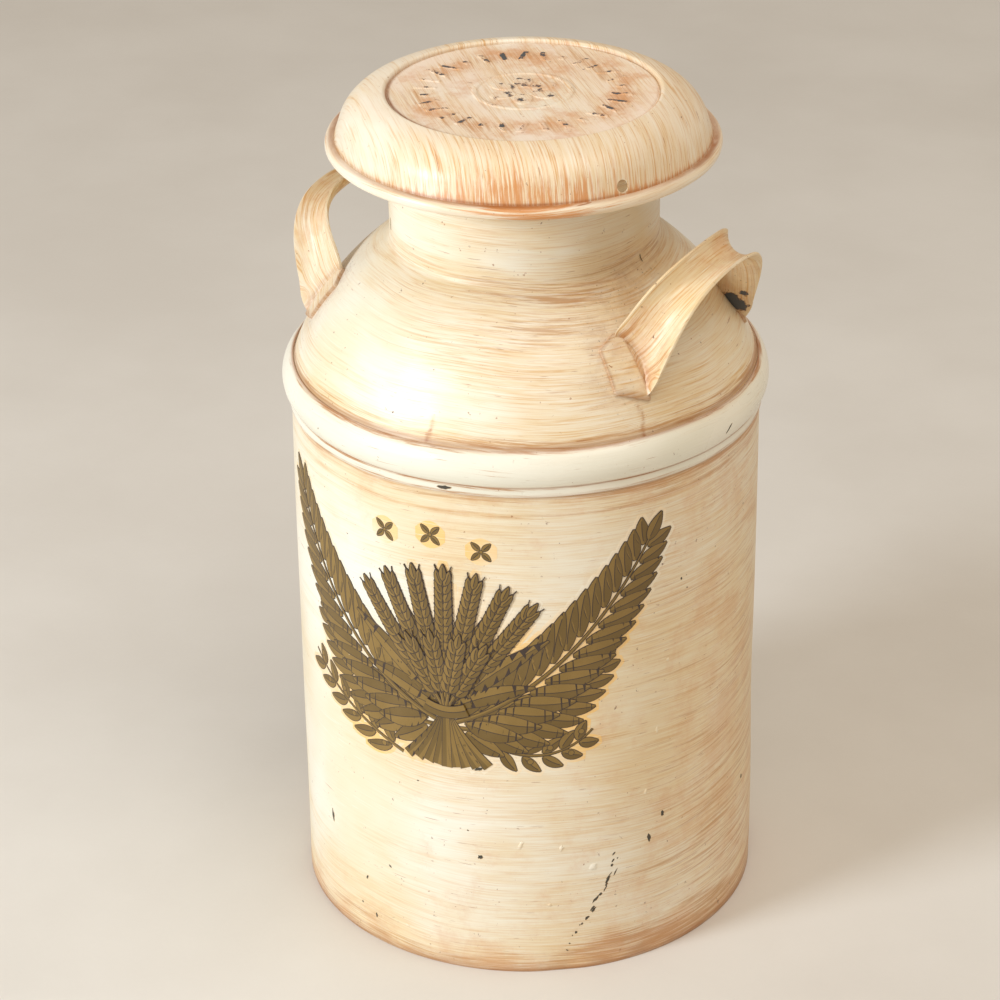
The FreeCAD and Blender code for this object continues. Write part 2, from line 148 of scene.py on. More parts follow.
# --- material nodes -----------------------------------------------------------------------------
class Graph:
    """A material's node tree, with short calls for the nodes it is built from."""

    def __init__(self, name):
        self.material = bpy.data.materials.new(name)
        self.material.use_nodes = True
        self.tree = self.material.node_tree
        self.shader = self.tree.nodes["Principled BSDF"]
        self.object = self.new("ShaderNodeTexCoord").outputs["Object"]

    def new(self, kind, inputs=None, **settings):
        node = self.tree.nodes.new(kind)
        for key, value in settings.items():
            setattr(node, key, value)
        for key, value in (inputs or {}).items():
            self.feed(node.inputs[key], value)
        return node

    def feed(self, socket, value):
        if isinstance(value, bpy.types.NodeSocket):
            self.tree.links.new(value, socket)
        else:
            socket.default_value = value

    def stretch(self, vector, scale, turn=0.0, shift=(0, 0, 0)):
        """Turn a vector about Z, then scale and shift it."""
        if turn:
            turned = self.new("ShaderNodeMapping", {"Vector": vector, "Rotation": (0, 0, turn)})
            vector = turned.outputs[0]
        node = self.new("ShaderNodeMapping", {"Vector": vector, "Scale": scale, "Location": shift})
        return node.outputs[0]

    def noise(self, vector, scale=1.0, detail=4.0, roughness=0.55):
        inputs = {"Vector": vector, "Scale": scale, "Detail": detail, "Roughness": roughness}
        return self.new("ShaderNodeTexNoise", inputs).outputs[0]

    def streaks(self, path, scale, shift, detail=3.0, roughness=0.55):
        """Noise drawn out along a stroke path."""
        return self.noise(self.stretch(path, scale, shift=shift), detail=detail, roughness=roughness)

    def band(self, value, low, high, bottom=0.0, top=1.0):
        inputs = {"Value": value, "From Min": low, "From Max": high, "To Min": bottom, "To Max": top}
        return self.new("ShaderNodeMapRange", inputs, interpolation_type="SMOOTHSTEP").outputs[0]

    def maths(self, operation, first, second):
        return self.new("ShaderNodeMath", {0: first, 1: second}, operation=operation).outputs[0]

    def times(self, first, second):
        return self.maths("MULTIPLY", first, second)

    def plus(self, first, second):
        return self.maths("ADD", first, second)

    def mix(self, factor, first, second):
        node = self.new("ShaderNodeMix", {0: factor, 6: first, 7: second}, data_type="RGBA")
        return node.outputs[2]

    def layered(self, colour, layers):
        """A colour with layers over it, each an amount and a colour."""
        for amount, over in layers:
            colour = self.mix(amount, colour, over)
        return colour

    def attribute(self, name):
        return self.new("ShaderNodeAttribute", attribute_name=name).outputs["Fac"]

    def bump(self, height, strength, depth_mm, under=None):
        inputs = {"Height": height, "Strength": strength, "Distance": depth_mm * MM}
        if under is not None:
            inputs["Normal"] = under
        return self.new("ShaderNodeBump", inputs).outputs[0]

    def finish(self, colour, roughness, normal, metallic=0.0):
        self.feed(self.shader.inputs["Base Color"], colour)
        self.feed(self.shader.inputs["Roughness"], roughness)
        self.feed(self.shader.inputs["Normal"], normal)
        self.feed(self.shader.inputs["Metallic"], metallic)
        return self.material


def brush_path(graph, source, scale, sway, order="XYZ", turn=0.0):
    """Stroke coordinates from a vector: along the stroke in X and Y, and across it in Z."""
    wander = graph.times(graph.plus(graph.noise(source, scale=6.0, detail=1.0), -0.5), sway)
    if turn:
        source = graph.stretch(source, (1, 1, 1), turn=turn)
    parts = graph.new("ShaderNodeSeparateXYZ", {0: source}).outputs
    along, side, across = (parts[axis] for axis in order)
    across = graph.plus(across, wander)
    path = graph.new("ShaderNodeCombineXYZ", {0: along, 1: side, 2: across}).outputs[0]
    return graph.stretch(path, scale)


def round_strokes(graph):
    """Brush strokes that run level round the can, a little wavy."""
    return brush_path(graph, graph.object, (24.0, 24.0, 860.0), sway=0.018)


def lid_strokes(graph):
    """Near-parallel strokes drawn right across the lid."""
    return brush_path(graph, graph.object, (26.0, 34.0, 720.0), order="XZY", sway=0.012,
                      turn=math.radians(44))


def strap_strokes(graph):
    """Strokes along the strap of a handle."""
    uv = graph.new("ShaderNodeUVMap", uv_map="along").outputs[0]
    return brush_path(graph, uv, (26.0, 1.0, 560.0), order="XZY", sway=0.003)


def glaze_layers(graph, path, stain, wash, hair, strong, cover, tone):
    """Layers of brushed glaze, and the noises that also shape the paint's relief and sheen."""
    patch = graph.streaks(path, (0.36, 0.36, 0.03), (3, 5, 7))
    streak = graph.streaks(path, (0.5, 0.5, 0.2), (6, 1, 2), roughness=0.6)
    ground = graph.plus(graph.times(patch, 0.6), graph.times(streak, 0.4))
    cloak = graph.band(graph.plus(ground, graph.times(stain, 0.35)), *cover)
    fine = graph.noise(path, detail=4.0, roughness=0.62)
    veil = graph.times(graph.band(fine, 0.34, 0.66, 0.35, 1.0), cloak)
    hairs = graph.streaks(path, (0.9, 0.9, 1.5), (11, 2, 5), roughness=0.6)
    lines = graph.times(graph.band(hairs, 0.50, 0.66), graph.plus(graph.times(cloak, 0.8), 0.2))
    coarse = graph.streaks(path, (0.7, 0.7, 0.62), (1, 9, 4), detail=6.0, roughness=0.68)
    ready = graph.plus(graph.plus(coarse, graph.times(stain, 0.22)), graph.times(ground, 0.3))
    heavy = graph.times(graph.band(ready, 0.75, 0.92), graph.plus(graph.times(stain, 0.3), strong))
    scuffs = graph.band(graph.streaks(path, (1.6, 1.6, 1.1), (2, 7, 3), detail=2.0), 0.71, 0.76)
    pale = graph.band(graph.streaks(path, (1.3, 1.3, 1.2), (4, 3, 8)), 0.57, 0.72)
    layers = [(graph.times(veil, wash), GLAZE_LIGHT), (graph.times(lines, hair), GLAZE_MID), (heavy, tone),
              (graph.times(scuffs, 0.7), GLAZE_DEEP), (graph.times(pale, 0.55), PALE)]
    return layers, fine, veil, hairs, coarse


def stain_layers(graph, stain, fine, blotch, specks):
    """Rubbed orange patches, glaze pooled in grooves, specks, and dirt with its crumbs."""
    rubbed = graph.noise(graph.object, scale=34.0, detail=7.0, roughness=0.72)
    rubbed = graph.band(graph.plus(rubbed, graph.times(stain, 0.2)), 0.50, 0.78)
    pool = graph.times(graph.attribute("pool"), graph.band(fine, 0.22, 0.62, 0.5, 1.0))
    dots = graph.band(graph.noise(graph.object, scale=330.0, detail=2.0), 0.725, 0.765)
    dirt = graph.attribute("dirt")
    smudge = graph.noise(graph.object, scale=46.0, detail=6.0, roughness=0.72)
    film = graph.times(dirt, graph.band(smudge, 0.36, 0.70, 0.12, 0.62))
    crumbs = graph.band(graph.noise(graph.object, scale=560.0, detail=2.0), 0.66, 0.71)
    crumbs = graph.times(graph.times(dirt, crumbs), 0.8)
    layers = [(graph.times(rubbed, blotch), GLAZE_WARM), (pool, GLAZE_DEEP),
              (graph.times(dots, specks), GLAZE_DEEP), (film, GRIME), (crumbs, SOOT)]
    return layers, film


def worn_layers(graph):
    """Rust, and bare steel inside it, where the paint is worn through."""
    worn = graph.noise(graph.object, scale=150.0, detail=6.0, roughness=0.72)
    exposed = graph.plus(worn, graph.times(graph.attribute("wear"), 0.36))
    bare = graph.band(exposed, 0.70, 0.73)
    return [(graph.times(graph.band(exposed, 0.66, 0.70), 0.75), RUST), (bare, STEEL_DARK)], bare


def antique_paint(name, strokes, base=CREAM, wash=0.5, hair=0.6, strong=0.6, cover=(0.38, 0.62),
                  tone=GLAZE, blotch=0.0, roughness=0.32, specks=0.6):
    """Cream enamel under a brushed brown glaze, with stains and dirt where the mesh says so."""
    graph = Graph(name)
    path = strokes(graph)
    # The glaze mark also carries painted shade and painted light on the body, shoulder and lid.
    stain = graph.attribute("glaze")
    cloud = graph.noise(graph.object, scale=7.0, detail=3.0)
    glaze, fine, veil, hairs, coarse = glaze_layers(graph, path, stain, wash, hair, strong, cover, tone)
    stains, film = stain_layers(graph, stain, fine, blotch, specks)
    wear, bare = worn_layers(graph)
    colour = graph.layered(base, [(graph.band(cloud, 0.38, 0.66), PALE)] + glaze + stains + wear)
    normal = graph.bump(hairs, 0.25, 0.3)
    normal = graph.bump(coarse, 0.2, 0.5, normal)
    normal = graph.bump(graph.noise(graph.object, scale=700.0, detail=2.0), 0.08, 0.3, normal)
    normal = graph.bump(graph.band(bare, 0.0, 1.0, 1.0, 0.0), 0.5, 0.25, normal)
    rough = graph.plus(graph.times(veil, 0.12), graph.times(film, 0.3))
    rough = graph.plus(rough, graph.times(bare, 0.2))
    rough = graph.plus(rough, graph.band(cloud, 0.3, 0.7, roughness - 0.05, roughness + 0.06))
    return graph.finish(colour, rough, normal)


def steel(name, tone, grain=(240.0, 240.0, 18.0), roughness=0.42, stain=0.35):
    """Bare or tinned steel with a drawn grain, dull patches and a little rust."""
    graph = Graph(name)
    lines = graph.noise(graph.stretch(graph.object, grain), detail=5.0)
    cloud = graph.noise(graph.object, scale=22.0, detail=5.0, roughness=0.65)
    dull = tuple(0.55 * c for c in tone[:3]) + (1.0,)
    spots = graph.noise(graph.object, scale=60.0, detail=6.0, roughness=0.7)
    rust = graph.times(graph.band(spots, 0.58, 0.72), stain)
    colour = graph.layered(tone, [(graph.band(cloud, 0.35, 0.7), dull), (rust, rgb(128, 84, 54))])
    sheen = graph.band(lines, 0.3, 0.7, roughness - 0.08, roughness + 0.1)
    rough = graph.plus(sheen, graph.times(rust, 0.3))
    metal = graph.band(rust, 0.0, 0.4, 1.0, 0.25)
    return graph.finish(colour, rough, graph.bump(lines, 0.18, 0.2), metallic=metal)


# --- meshes -------------------------------------------------------------------------------------
def build(name, verts, faces, materials, body, face_material=None, marks=None, uv=None, crease=40):
    """A mesh object from arrays in millimetres, riding on a body. Marks are named vertex values."""
    mesh = bpy.data.meshes.new(name)
    polygons = faces.tolist() if isinstance(faces, np.ndarray) else faces
    mesh.from_pydata((np.asarray(verts) * MM).tolist(), [], polygons)
    for material in materials:
        mesh.materials.append(material)
    if face_material is not None:
        mesh.polygons.foreach_set("material_index", np.asarray(face_material, dtype=np.int32))
    for key in ("glaze", "pool", "dirt", "wear"):
        layer = mesh.attributes.new(key, "FLOAT", "POINT")
        values = (marks or {}).get(key)
        if values is not None:
            layer.data.foreach_set("value", np.asarray(values, dtype=np.float32).ravel())
    if uv is not None:
        corner_verts = np.zeros(len(mesh.loops), dtype=np.int32)
        mesh.loops.foreach_get("vertex_index", corner_verts)
        layer = mesh.uv_layers.new(name="along")
        layer.data.foreach_set("uv", np.asarray(uv, dtype=np.float32)[corner_verts].ravel())
    mesh.polygons.foreach_set("use_smooth", np.ones(len(mesh.polygons), dtype=bool))
    mesh.set_sharp_from_angle(angle=math.radians(crease))
    mesh.update()
    piece = bpy.data.objects.new(name, mesh)
    bpy.context.scene.collection.objects.link(piece)
    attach(piece, body)
    return piece


def lattice(rows, cols, loop_rows=True):
    """Quads of a grid that closes round its columns, and round its rows if asked."""
    row = np.arange(rows if loop_rows else rows - 1)[:, None]
    col = np.arange(cols)[None, :]
    after = (col + 1) % cols
    above = (row + 1) % rows
    quads = [row * cols + col, row * cols + after, above * cols + after, above * cols + col]
    return np.stack([q + 0 * (row + col) for q in quads], axis=-1).reshape(-1, 4)


def tube_faces(count, width):
    """Faces of a tube made of closed loops, with a cap at each end."""
    faces = [tuple(face) for face in lattice(count, width, loop_rows=False).tolist()]
    return faces + [tuple(range(width))[::-1], tuple(range((count - 1) * width, count * width))]


def around(radius, angle, height):
    """Points from their distance from the axis, direction and height."""
    return np.stack([radius * np.cos(angle), radius * np.sin(angle), height], axis=-1)


def arc(centre, radius, first, last, step):
    """Points of an arc between two directions in degrees."""
    count = max(2, int(math.ceil(abs(last - first) / step)) + 1)
    turn = np.radians(np.linspace(first, last, count))
    return np.stack([centre[0] + radius * np.cos(turn), centre[1] + radius * np.sin(turn)], axis=1)


def run(start, end, step=3.0):
    start, end = np.asarray(start, float), np.asarray(end, float)
    count = max(2, int(math.ceil(np.linalg.norm(end - start) / step)) + 1)
    share = np.linspace(0, 1, count)[:, None]
    return start + (end - start) * share


def joined(*parts):
    """One closed outline from several stretches, without doubled points, going anticlockwise."""
    points = np.concatenate(parts)
    ahead = np.roll(points, -1, axis=0)
    points = points[np.linalg.norm(ahead - points, axis=1) > 1e-4]
    ahead = np.roll(points, -1, axis=0)
    area = np.sum(points[:, 0] * ahead[:, 1] - ahead[:, 0] * points[:, 1])
    return points if area > 0 else points[::-1]


def circle_through(a, b, c):
    """Centre and radius of the circle through three points."""
    (ax, ay), (bx, by), (cx, cy) = a, b, c
    d = 2 * (ax * (by - cy) + bx * (cy - ay) + cx * (ay - by))
    sa, sb, sc = ax * ax + ay * ay, bx * bx + by * by, cx * cx + cy * cy
    centre = ((sa * (by - cy) + sb * (cy - ay) + sc * (ay - by)) / d,
              (sa * (cx - bx) + sb * (ax - cx) + sc * (bx - ax)) / d)
    return centre, math.hypot(ax - centre[0], ay - centre[1])


def direction(centre, point):
    return math.degrees(math.atan2(point[1] - centre[1], point[0] - centre[0]))


def turned(name, outline, angles, materials, slot, body, offset=None, marks=None, split=None):
    """Turn a closed outline about the can's axis. The offset moves points out, and split picks faces."""
    radius, height = outline[:, 0][:, None], outline[:, 1][:, None]
    angle = angles[None, :]
    grid_r = radius + 0 * angle
    grid_z = height + 0 * angle
    grid_a = angle + 0 * radius
    if offset is not None:
        grid_r = grid_r + offset(grid_a, grid_z, grid_r)
    verts = around(grid_r, grid_a, grid_z).reshape(-1, 3)
    faces = lattice(len(outline), len(angles))
    values = marks(grid_a, grid_r, grid_z) if marks else None
    index = None
    if split is not None:
        middle = (outline + np.roll(outline, -1, axis=0)) / 2
        index = np.repeat(split(middle[:, 0], middle[:, 1]).astype(np.int32), len(angles))
    return build(name, verts, faces, materials, body, index, values)


def even_angles(count):
    return np.linspace(-math.pi, math.pi, count, endpoint=False)


def bell(value, width):
    return np.exp(-(value / width) ** 2)


def ease(value, low, high):
    share = np.clip((value - low) / (high - low), 0, 1)
    return share * share * (3 - 2 * share)


def apart(angle, other_deg):
    """Signed difference between angles in radians and a direction in degrees."""
    return (angle - math.radians(other_deg) + math.pi) % (2 * math.pi) - math.pi


# --- dents and sway of the sheet ----------------------------------------------------------------
BODY_DENTS = (                # direction, height, half width along, half height, depth
    (-52.0, 2.0, 16.0, 9.0, 0.9),
    (-32.0, 62.0, 26.0, 16.0, 0.6),
    (20.0, 150.0, 40.0, 50.0, 0.9),
    (128.0, 220.0, 46.0, 34.0, 1.2),
    (-160.0, 90.0, 34.0, 24.0, 0.8),
    (165.0, 310.0, 30.0, 30.0, 0.7),
)


def body_sway(angle, height):
    """How far the body wall stands off its true radius."""
    sway = 0.22 * np.sin(3 * angle + 0.7 + height / 130) + 0.16 * np.sin(7 * angle - 1.1 - height / 55)
    sway += 0.10 * np.sin(13 * angle + height / 34)
    for where, z, wide, tall, depth in BODY_DENTS:
        sway -= depth * bell(apart(angle, where) * BODY_R, wide) * bell(height - z, tall)
    return sway * ease(height, -6, 30) * (1 - ease(height, 360, 384))


def body_offset(angle, height, radius):
    outer = radius > BODY_R - SHEET / 2
    dent = -0.9 * bell(apart(angle, -52.0) * BODY_R, 15.0) * bell(height, 12.0)
    lap = (np.abs(angle - LAP_ANGLE) < LAP_HALF) & (height < LAP_TOP) & outer
    return body_sway(angle, height) + dent * outer + SHEET * lap


def shoulder_offset(angle, height, radius):
    sway = 0.20 * np.sin(2 * angle + 0.5) * np.sin(height / 21) + 0.14 * np.sin(5 * angle + height / 17)
    return sway * ease(height, 425, 440) * (1 - ease(height, 560, 585))


# --- paints, metals and prints ------------------------------------------------------------------
body_paint = antique_paint("body_paint", round_strokes, wash=0.56, hair=0.34, strong=0.32, cover=(0.36, 0.62),
                           blotch=0.3)
shoulder_paint = antique_paint("shoulder_paint", round_strokes, wash=0.62, hair=0.5, strong=0.42,
                               cover=(0.32, 0.58))
hoop_paint = antique_paint("hoop_paint", round_strokes, base=rgb(238, 234, 215), wash=0.2, hair=0.12,
                           strong=0.6, cover=(0.5, 0.75), roughness=0.25)
lid_paint = antique_paint("lid_paint", lid_strokes, base=rgb(245, 230, 207), wash=0.6, hair=0.75,
                          strong=0.6, cover=(0.34, 0.62), tone=GLAZE_WARM)
rim_paint = antique_paint("rim_paint", round_strokes, base=rgb(245, 230, 207), wash=0.4, hair=0.35,
                          strong=0.7, cover=(0.45, 0.7), tone=GLAZE_WARM)
disc_paint = antique_paint("disc_paint", lid_strokes, base=rgb(248, 228, 208), wash=0.45, hair=0.5,
                           strong=0.4, cover=(0.42, 0.66), blotch=0.7)
handle_paint = antique_paint("handle_paint", strap_strokes, base=rgb(243, 224, 186), wash=0.75, hair=0.75,
                             strong=0.5, cover=(0.28, 0.55), blotch=0.4, specks=0.9)
tinned = steel("tinned_steel", rgb(170, 170, 164))
wire_steel = steel("bare_wire", rgb(122, 118, 110), grain=(60.0, 60.0, 60.0), roughness=0.5, stain=0.6)
solder = steel("solder", rgb(178, 178, 174), grain=(90.0, 90.0, 90.0), roughness=0.35, stain=0.15)


def print_ink(name, tone, fade=0.25):
    """Printed colour, rubbed away in small spots down to the enamel."""
    graph = Graph(name)
    cloud = graph.noise(graph.object, scale=38.0, detail=4.0)
    pale = tuple(min(1.0, c * 1.55 + 0.03) for c in tone[:3]) + (1.0,)
    colour = graph.mix(graph.band(cloud, 0.35, 0.75, 0.0, fade), tone, pale)
    scuff = graph.noise(graph.stretch(graph.object, (60.0, 60.0, 420.0)), detail=4.0, roughness=0.7)
    colour = graph.mix(graph.band(scuff, 0.62, 0.8, 0.0, 0.35), colour, pale)
    spots = graph.noise(graph.object, scale=62.0, detail=3.0, roughness=0.6)
    colour = graph.mix(graph.band(spots, 0.735, 0.75), colour, CREAM)
    fine = graph.noise(graph.object, scale=900.0, detail=2.0)
    return graph.finish(colour, graph.band(cloud, 0.3, 0.7, 0.38, 0.5), graph.bump(fine, 0.12, 0.2))


def bare_chip(name, tone, rust):
    """Bare steel or primer at the bottom of a chip."""
    graph = Graph(name)
    cloud = graph.noise(graph.object, scale=420.0, detail=5.0, roughness=0.7)
    colour = graph.mix(graph.band(cloud, 0.42, 0.66), tone, rust)
    return graph.finish(colour, graph.band(cloud, 0.3, 0.7, 0.5, 0.75), graph.bump(cloud, 0.5, 0.2))


amber_ground = antique_paint("amber_ground", round_strokes, base=rgb(252, 208, 134), wash=0.2,
                             hair=0.25, strong=0.1, specks=0.3)
light_gold = print_ink("gold_print_light", rgb(134, 106, 50))
dark_gold = print_ink("gold_print_dark", rgb(110, 86, 38))
ink = print_ink("brown_print", rgb(60, 46, 38), fade=0.15)
chip_steel = bare_chip("chip_steel", rgb(66, 66, 58), rgb(92, 78, 60))
chip_edge = bare_chip("chip_edge", rgb(206, 178, 136), rgb(150, 112, 74))


# --- body, shoulder and hoop --------------------------------------------------------------------
def body_angles():
    """Even directions round the body, with a close pair at each edge of the lapped seam."""
    edges = [LAP_ANGLE + side * (LAP_HALF + gap) for side in (-1, 1) for gap in (-0.0015, 0.0015)]
    return np.unique(np.concatenate([even_angles(480), edges]))


def body_marks(angle, radius, height):
    """Stain along the foot and under the hoop, painted shade on the right that grows towards the floor,
    painted light on the side facing the key light, and glaze pooled at both edges.
    """
    ragged_top = height + 4 * np.sin(5 * angle + 1) + 3 * np.sin(11 * angle)
    low = 1 - ease(ragged_top, 5, 34)
    heavy = 0.85 + 0.2 * np.sin(2 * angle + 2.4) + 0.2 * np.sin(5 * angle)
    # Painted shade: more glaze on the right side, away from the key light, and more of it towards the floor.
    right = bell(apart(angle, 4), 0.72) * (0.4 + 0.3 * (1 - ease(height, 30, 320)))
    under_hoop = bell(height - HOOP_BOTTOM + 3.2, 4)
    under_hoop = under_hoop + 0.9 * bell(height - HOOP_BOTTOM + 13.2 - 2 * np.sin(angle), 2.0)
    edge_rise = 4.5 + 3 * np.sin(3 * angle + 0.4) * np.sin(17 * angle) ** 2 + 1.5 * np.sin(8 * angle) ** 2
    pool = 0.75 * bell(height - HOOP_BOTTOM + 0.8, 1.0) + 0.55 * bell(height, edge_rise)
    # Painted light: less glaze on the side that faces the key light, so that side reads washed out as if
    # brightly lit.
    painted_light = 0.4 * bell(apart(angle, KEY_LIT_SIDE), 0.6) * ease(height, 20, 80)
    glaze = np.clip(low * heavy + right + 0.8 * under_hoop - painted_light, -0.5, 1)
    return {"glaze": glaze, "pool": pool, "dirt": 0.15 * low * bell(apart(angle, -20), 0.9)}


def make_body():
    outer_r, inner_r, chamfer = BODY_R, BODY_R - SHEET, 0.4
    outline = joined(
        run((outer_r - chamfer, 0), (outer_r, 0.5), 1), run((outer_r, 0.5), (outer_r, BODY_TOP)),
        run((outer_r, BODY_TOP), (inner_r, BODY_TOP), 2), run((inner_r, BODY_TOP), (inner_r, 0), 12),
        run((inner_r, 0), (outer_r - chamfer, 0), 2))
    piece = turned("body_wall", outline, body_angles(), [body_paint, tinned], "body_paint", "can",
                   body_offset, body_marks, lambda r, z: r < BODY_R - 0.7)
    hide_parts("body_shell")


def shoulder_outline(inset):
    """Line of the breast from its skirt to the top of the neck, moved in by the inset."""
    centre = (ARC_AXIS_R, ARC_AXIS_Z)
    skirt = BODY_R - SHEET
    knuckle_x = skirt - KNUCKLE_R
    knuckle = (knuckle_x, ARC_AXIS_Z + math.sqrt((ARC_R - KNUCKLE_R) ** 2 - (knuckle_x - ARC_AXIS_R) ** 2))
    fillet_x = NECK_R + FILLET_R
    fillet = (fillet_x, ARC_AXIS_Z + math.sqrt((ARC_R + FILLET_R) ** 2 - (fillet_x - ARC_AXIS_R) ** 2))
    low, high = direction(centre, knuckle), direction(centre, fillet)
    return np.concatenate([
        run((skirt - inset, SKIRT_BOTTOM), (skirt - inset, knuckle[1])),
        arc(knuckle, KNUCKLE_R - inset, 0, low, 5),
        arc(centre, ARC_R - inset, low, high, 0.8),
        arc(fillet, FILLET_R + inset, high + 180, 180, 8),
        run((NECK_R - inset, fillet[1]), (NECK_R - inset, NECK_TOP), 2.5)])


def shoulder_marks(angle, radius, height):
    """Stain in the crease, round the neck and on the dome, dirt near the handles, and two drips, with painted
    light: less glaze on the neck's right side and on the side facing the key light.
    """
    neck = bell(height - NECK_FOOT, 9) * (0.35 + 0.3 * np.sin(3 * angle + 1.0)) + 0.5 * bell(height - 568, 8)
    # Painted light: less glaze on the right side of the neck, so it reads lighter as if lit from that side.
    neck = neck - 0.25 * bell(apart(angle, 0), 0.6) * ease(height, 505, 530)
    warm = 0.55 * bell(apart(angle, -52), 0.5) * bell(height - 478, 26)
    warm = warm + 0.5 * bell(apart(angle, -40), 0.55) * bell(height - 500, 12)
    dirt = 0.6 * bell(apart(angle, -14), 0.36) * bell(height - 498, 17)
    for side in (0, LEFT_SIDE):
        for foot in (-FOOT_SPREAD, FOOT_SPREAD):
            dirt = dirt + bell(apart(angle, side + foot), 0.15) * bell(height - 462, 25)
    drips = np.zeros_like(angle)
    for where, top in ((-83.5, 436.0), (-30.5, 440.0)):
        line = bell(apart(angle, where) + 0.007 * np.sin(height / 3), 0.008)
        drips += line * (1 - ease(height, top - 9, top))
    glaze = 0.9 * bell(height - CREASE_Z - 3.5, 4.0) + neck + warm + 0.9 * drips
    # Painted light: less glaze on the side that faces the key light, so that side reads washed out as if
    # brightly lit.
    glaze = glaze - 0.4 * bell(apart(angle, KEY_LIT_SIDE), 0.6)
    pool = 0.85 * bell(height - CREASE_Z - 0.4, 1.3) + 0.35 * drips
    return {"glaze": np.clip(glaze, -0.5, 1), "pool": pool, "dirt": np.clip(dirt, 0, 1)}


def make_shoulder():
    inner = shoulder_outline(BREAST_SHEET)
    outline = joined(shoulder_outline(0), inner[::-1])
    inside = np.array([np.linalg.norm(inner - point, axis=1).min() < 1e-4 for point in outline])
    hidden = inside | np.roll(inside, -1)
    piece = turned("shoulder_and_neck", outline, even_angles(480), [shoulder_paint, tinned],
                   "shoulder_paint", "can", shoulder_offset, shoulder_marks, lambda r, z: hidden)
    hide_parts("breast")


def hoop_marks(angle, radius, height):
    """Stain and pooled glaze along the hoop's top, its fold and its lower edge."""
    fold = HOOP_FOOT[1]
    edge = bell(height - CREASE_Z + 1.0, 1.6) + bell(height - fold + 0.5, 1.6)
    edge = edge + 0.8 * bell(height - HOOP_BOTTOM - 0.8, 1.5)
    pool = 0.85 * bell(height - CREASE_Z - 0.2, 1.1) + 0.7 * bell(height - fold - 0.2, 0.8)
    pool = pool + 0.5 * bell(height - HOOP_BOTTOM - 0.4, 0.7)
    return {"glaze": np.clip(edge * (0.7 + 0.3 * np.sin(3 * angle)), 0, 1), "pool": pool}


def hoop_sway(angle, height, radius):
    return 0.16 * np.sin(4 * angle + 1) + 0.10 * np.sin(9 * angle + height / 8)


def make_hoop():
    centre, radius = circle_through(HOOP_FOOT, HOOP_CREST, HOOP_TOP)
    top, foot = direction(centre, HOOP_TOP), direction(centre, HOOP_FOOT)
    inner = radius - HOOP_SHEET
    drop = math.sqrt(inner ** 2 - (BODY_R - centre[0]) ** 2)
    low = direction(centre, (BODY_R, centre[1] - drop))
    outline = joined(
        run((BODY_R, HOOP_BOTTOM), (BODY_R + HOOP_SHEET, HOOP_BOTTOM), 1),
        run((BODY_R + HOOP_SHEET, HOOP_BOTTOM), HOOP_FOOT, 1.2),
        arc(centre, radius, foot, top, 4), arc(centre, inner, top, low, 8),
        run((BODY_R, centre[1] - drop), (BODY_R, HOOP_BOTTOM), 3))
    piece = turned("breast_hoop_band", outline, even_angles(480), [hoop_paint], "hoop_paint", "can",
                   hoop_sway, hoop_marks)
    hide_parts("breast_hoop")


# --- lid ----------------------------------------------------------------------------------------
def sheet_outline(start, heading, moves, thickness):
    """Outline of a sheet that follows runs and bends, with its thickness on the right-hand side."""
    upper, lower = [], []
    point = np.asarray(start, float)
    for kind, amount, *radius in moves:
        if kind == "run":
            ahead = np.array([math.cos(math.radians(heading)), math.sin(math.radians(heading))])
            beside = np.array([ahead[1], -ahead[0]]) * thickness
            stretch = run(point, point + ahead * amount, 1.6)
            upper.append(stretch)
            lower.append(stretch + beside)
        else:
            side = math.copysign(1, amount)
            aim = math.radians(heading + 90 * side)
            centre = point + radius[0] * np.array([math.cos(aim), math.sin(aim)])
            first = heading - 90 * side
            step = 1.6 if radius[0] > 20 else 12
            upper.append(arc(centre, radius[0], first, first + amount, step))
            lower.append(arc(centre, radius[0] + side * thickness, first, first + amount, step))
            heading += amount
        point = upper[-1][-1]
    return joined(np.concatenate(upper), np.concatenate(lower)[::-1])


def lid_marks(angle, radius, height):
    """Stain on the front of the dome, painted light on the side facing the key light, and glaze pooled in the
    groove and above the rim.
    """
    # Painted light: the term at -140 thins the glaze on the side that faces the key light, so it reads
    # brightly lit.
    front = 0.95 * bell(apart(angle, LID_STAIN_SIDE), 0.5) + 0.25 - 0.5 * bell(apart(angle, -140), 0.7)
    steep = 1 - ease(height, 582, 606)
    rim = bell(height - RIM_TOP - 0.1, 3.0) * (radius > 124)
    glaze = front * (0.35 + 0.65 * steep) + 0.5 * rim
    groove = bell(apart(angle, KEY_LIT_SIDE), 0.62) + 0.25 + 0.3 * bell(apart(angle, 75), 0.3)
    pool = 0.95 * groove * bell(radius - DISC_R - 0.7, 0.9) * (height > 600)
    seam = 0.9 * bell(height - RIM_TOP, 1.1) * (radius > 127)
    seam = seam + 0.8 * bell(height - RIM_LOW - 1.0, 0.8) * (radius > 128)
    pool = pool + seam * (0.75 + 0.25 * np.sin(3 * angle - 1.3))
    return {"glaze": np.clip(glaze, -0.5, 1), "pool": np.clip(pool, 0, 1)}


def rim_marks(angle, radius, height):
    """Stain on the front of the rim's curl, and glaze pooled above and below it."""
    front = bell(apart(angle, -56), 0.32)
    pool = 0.9 * bell(height - RIM_TOP - 0.2, 1.0) * (radius > 128)
    pool = pool + 0.9 * bell(height - RIM_LOW - 0.2, 0.55) * (radius > 129.5)
    glaze = 0.1 + 0.9 * front + 0.3 * bell(height - RIM_TOP + 1.4, 1.5)
    return {"glaze": np.clip(glaze, 0, 1), "pool": pool * (0.75 + 0.25 * np.sin(4 * angle + 0.6))}


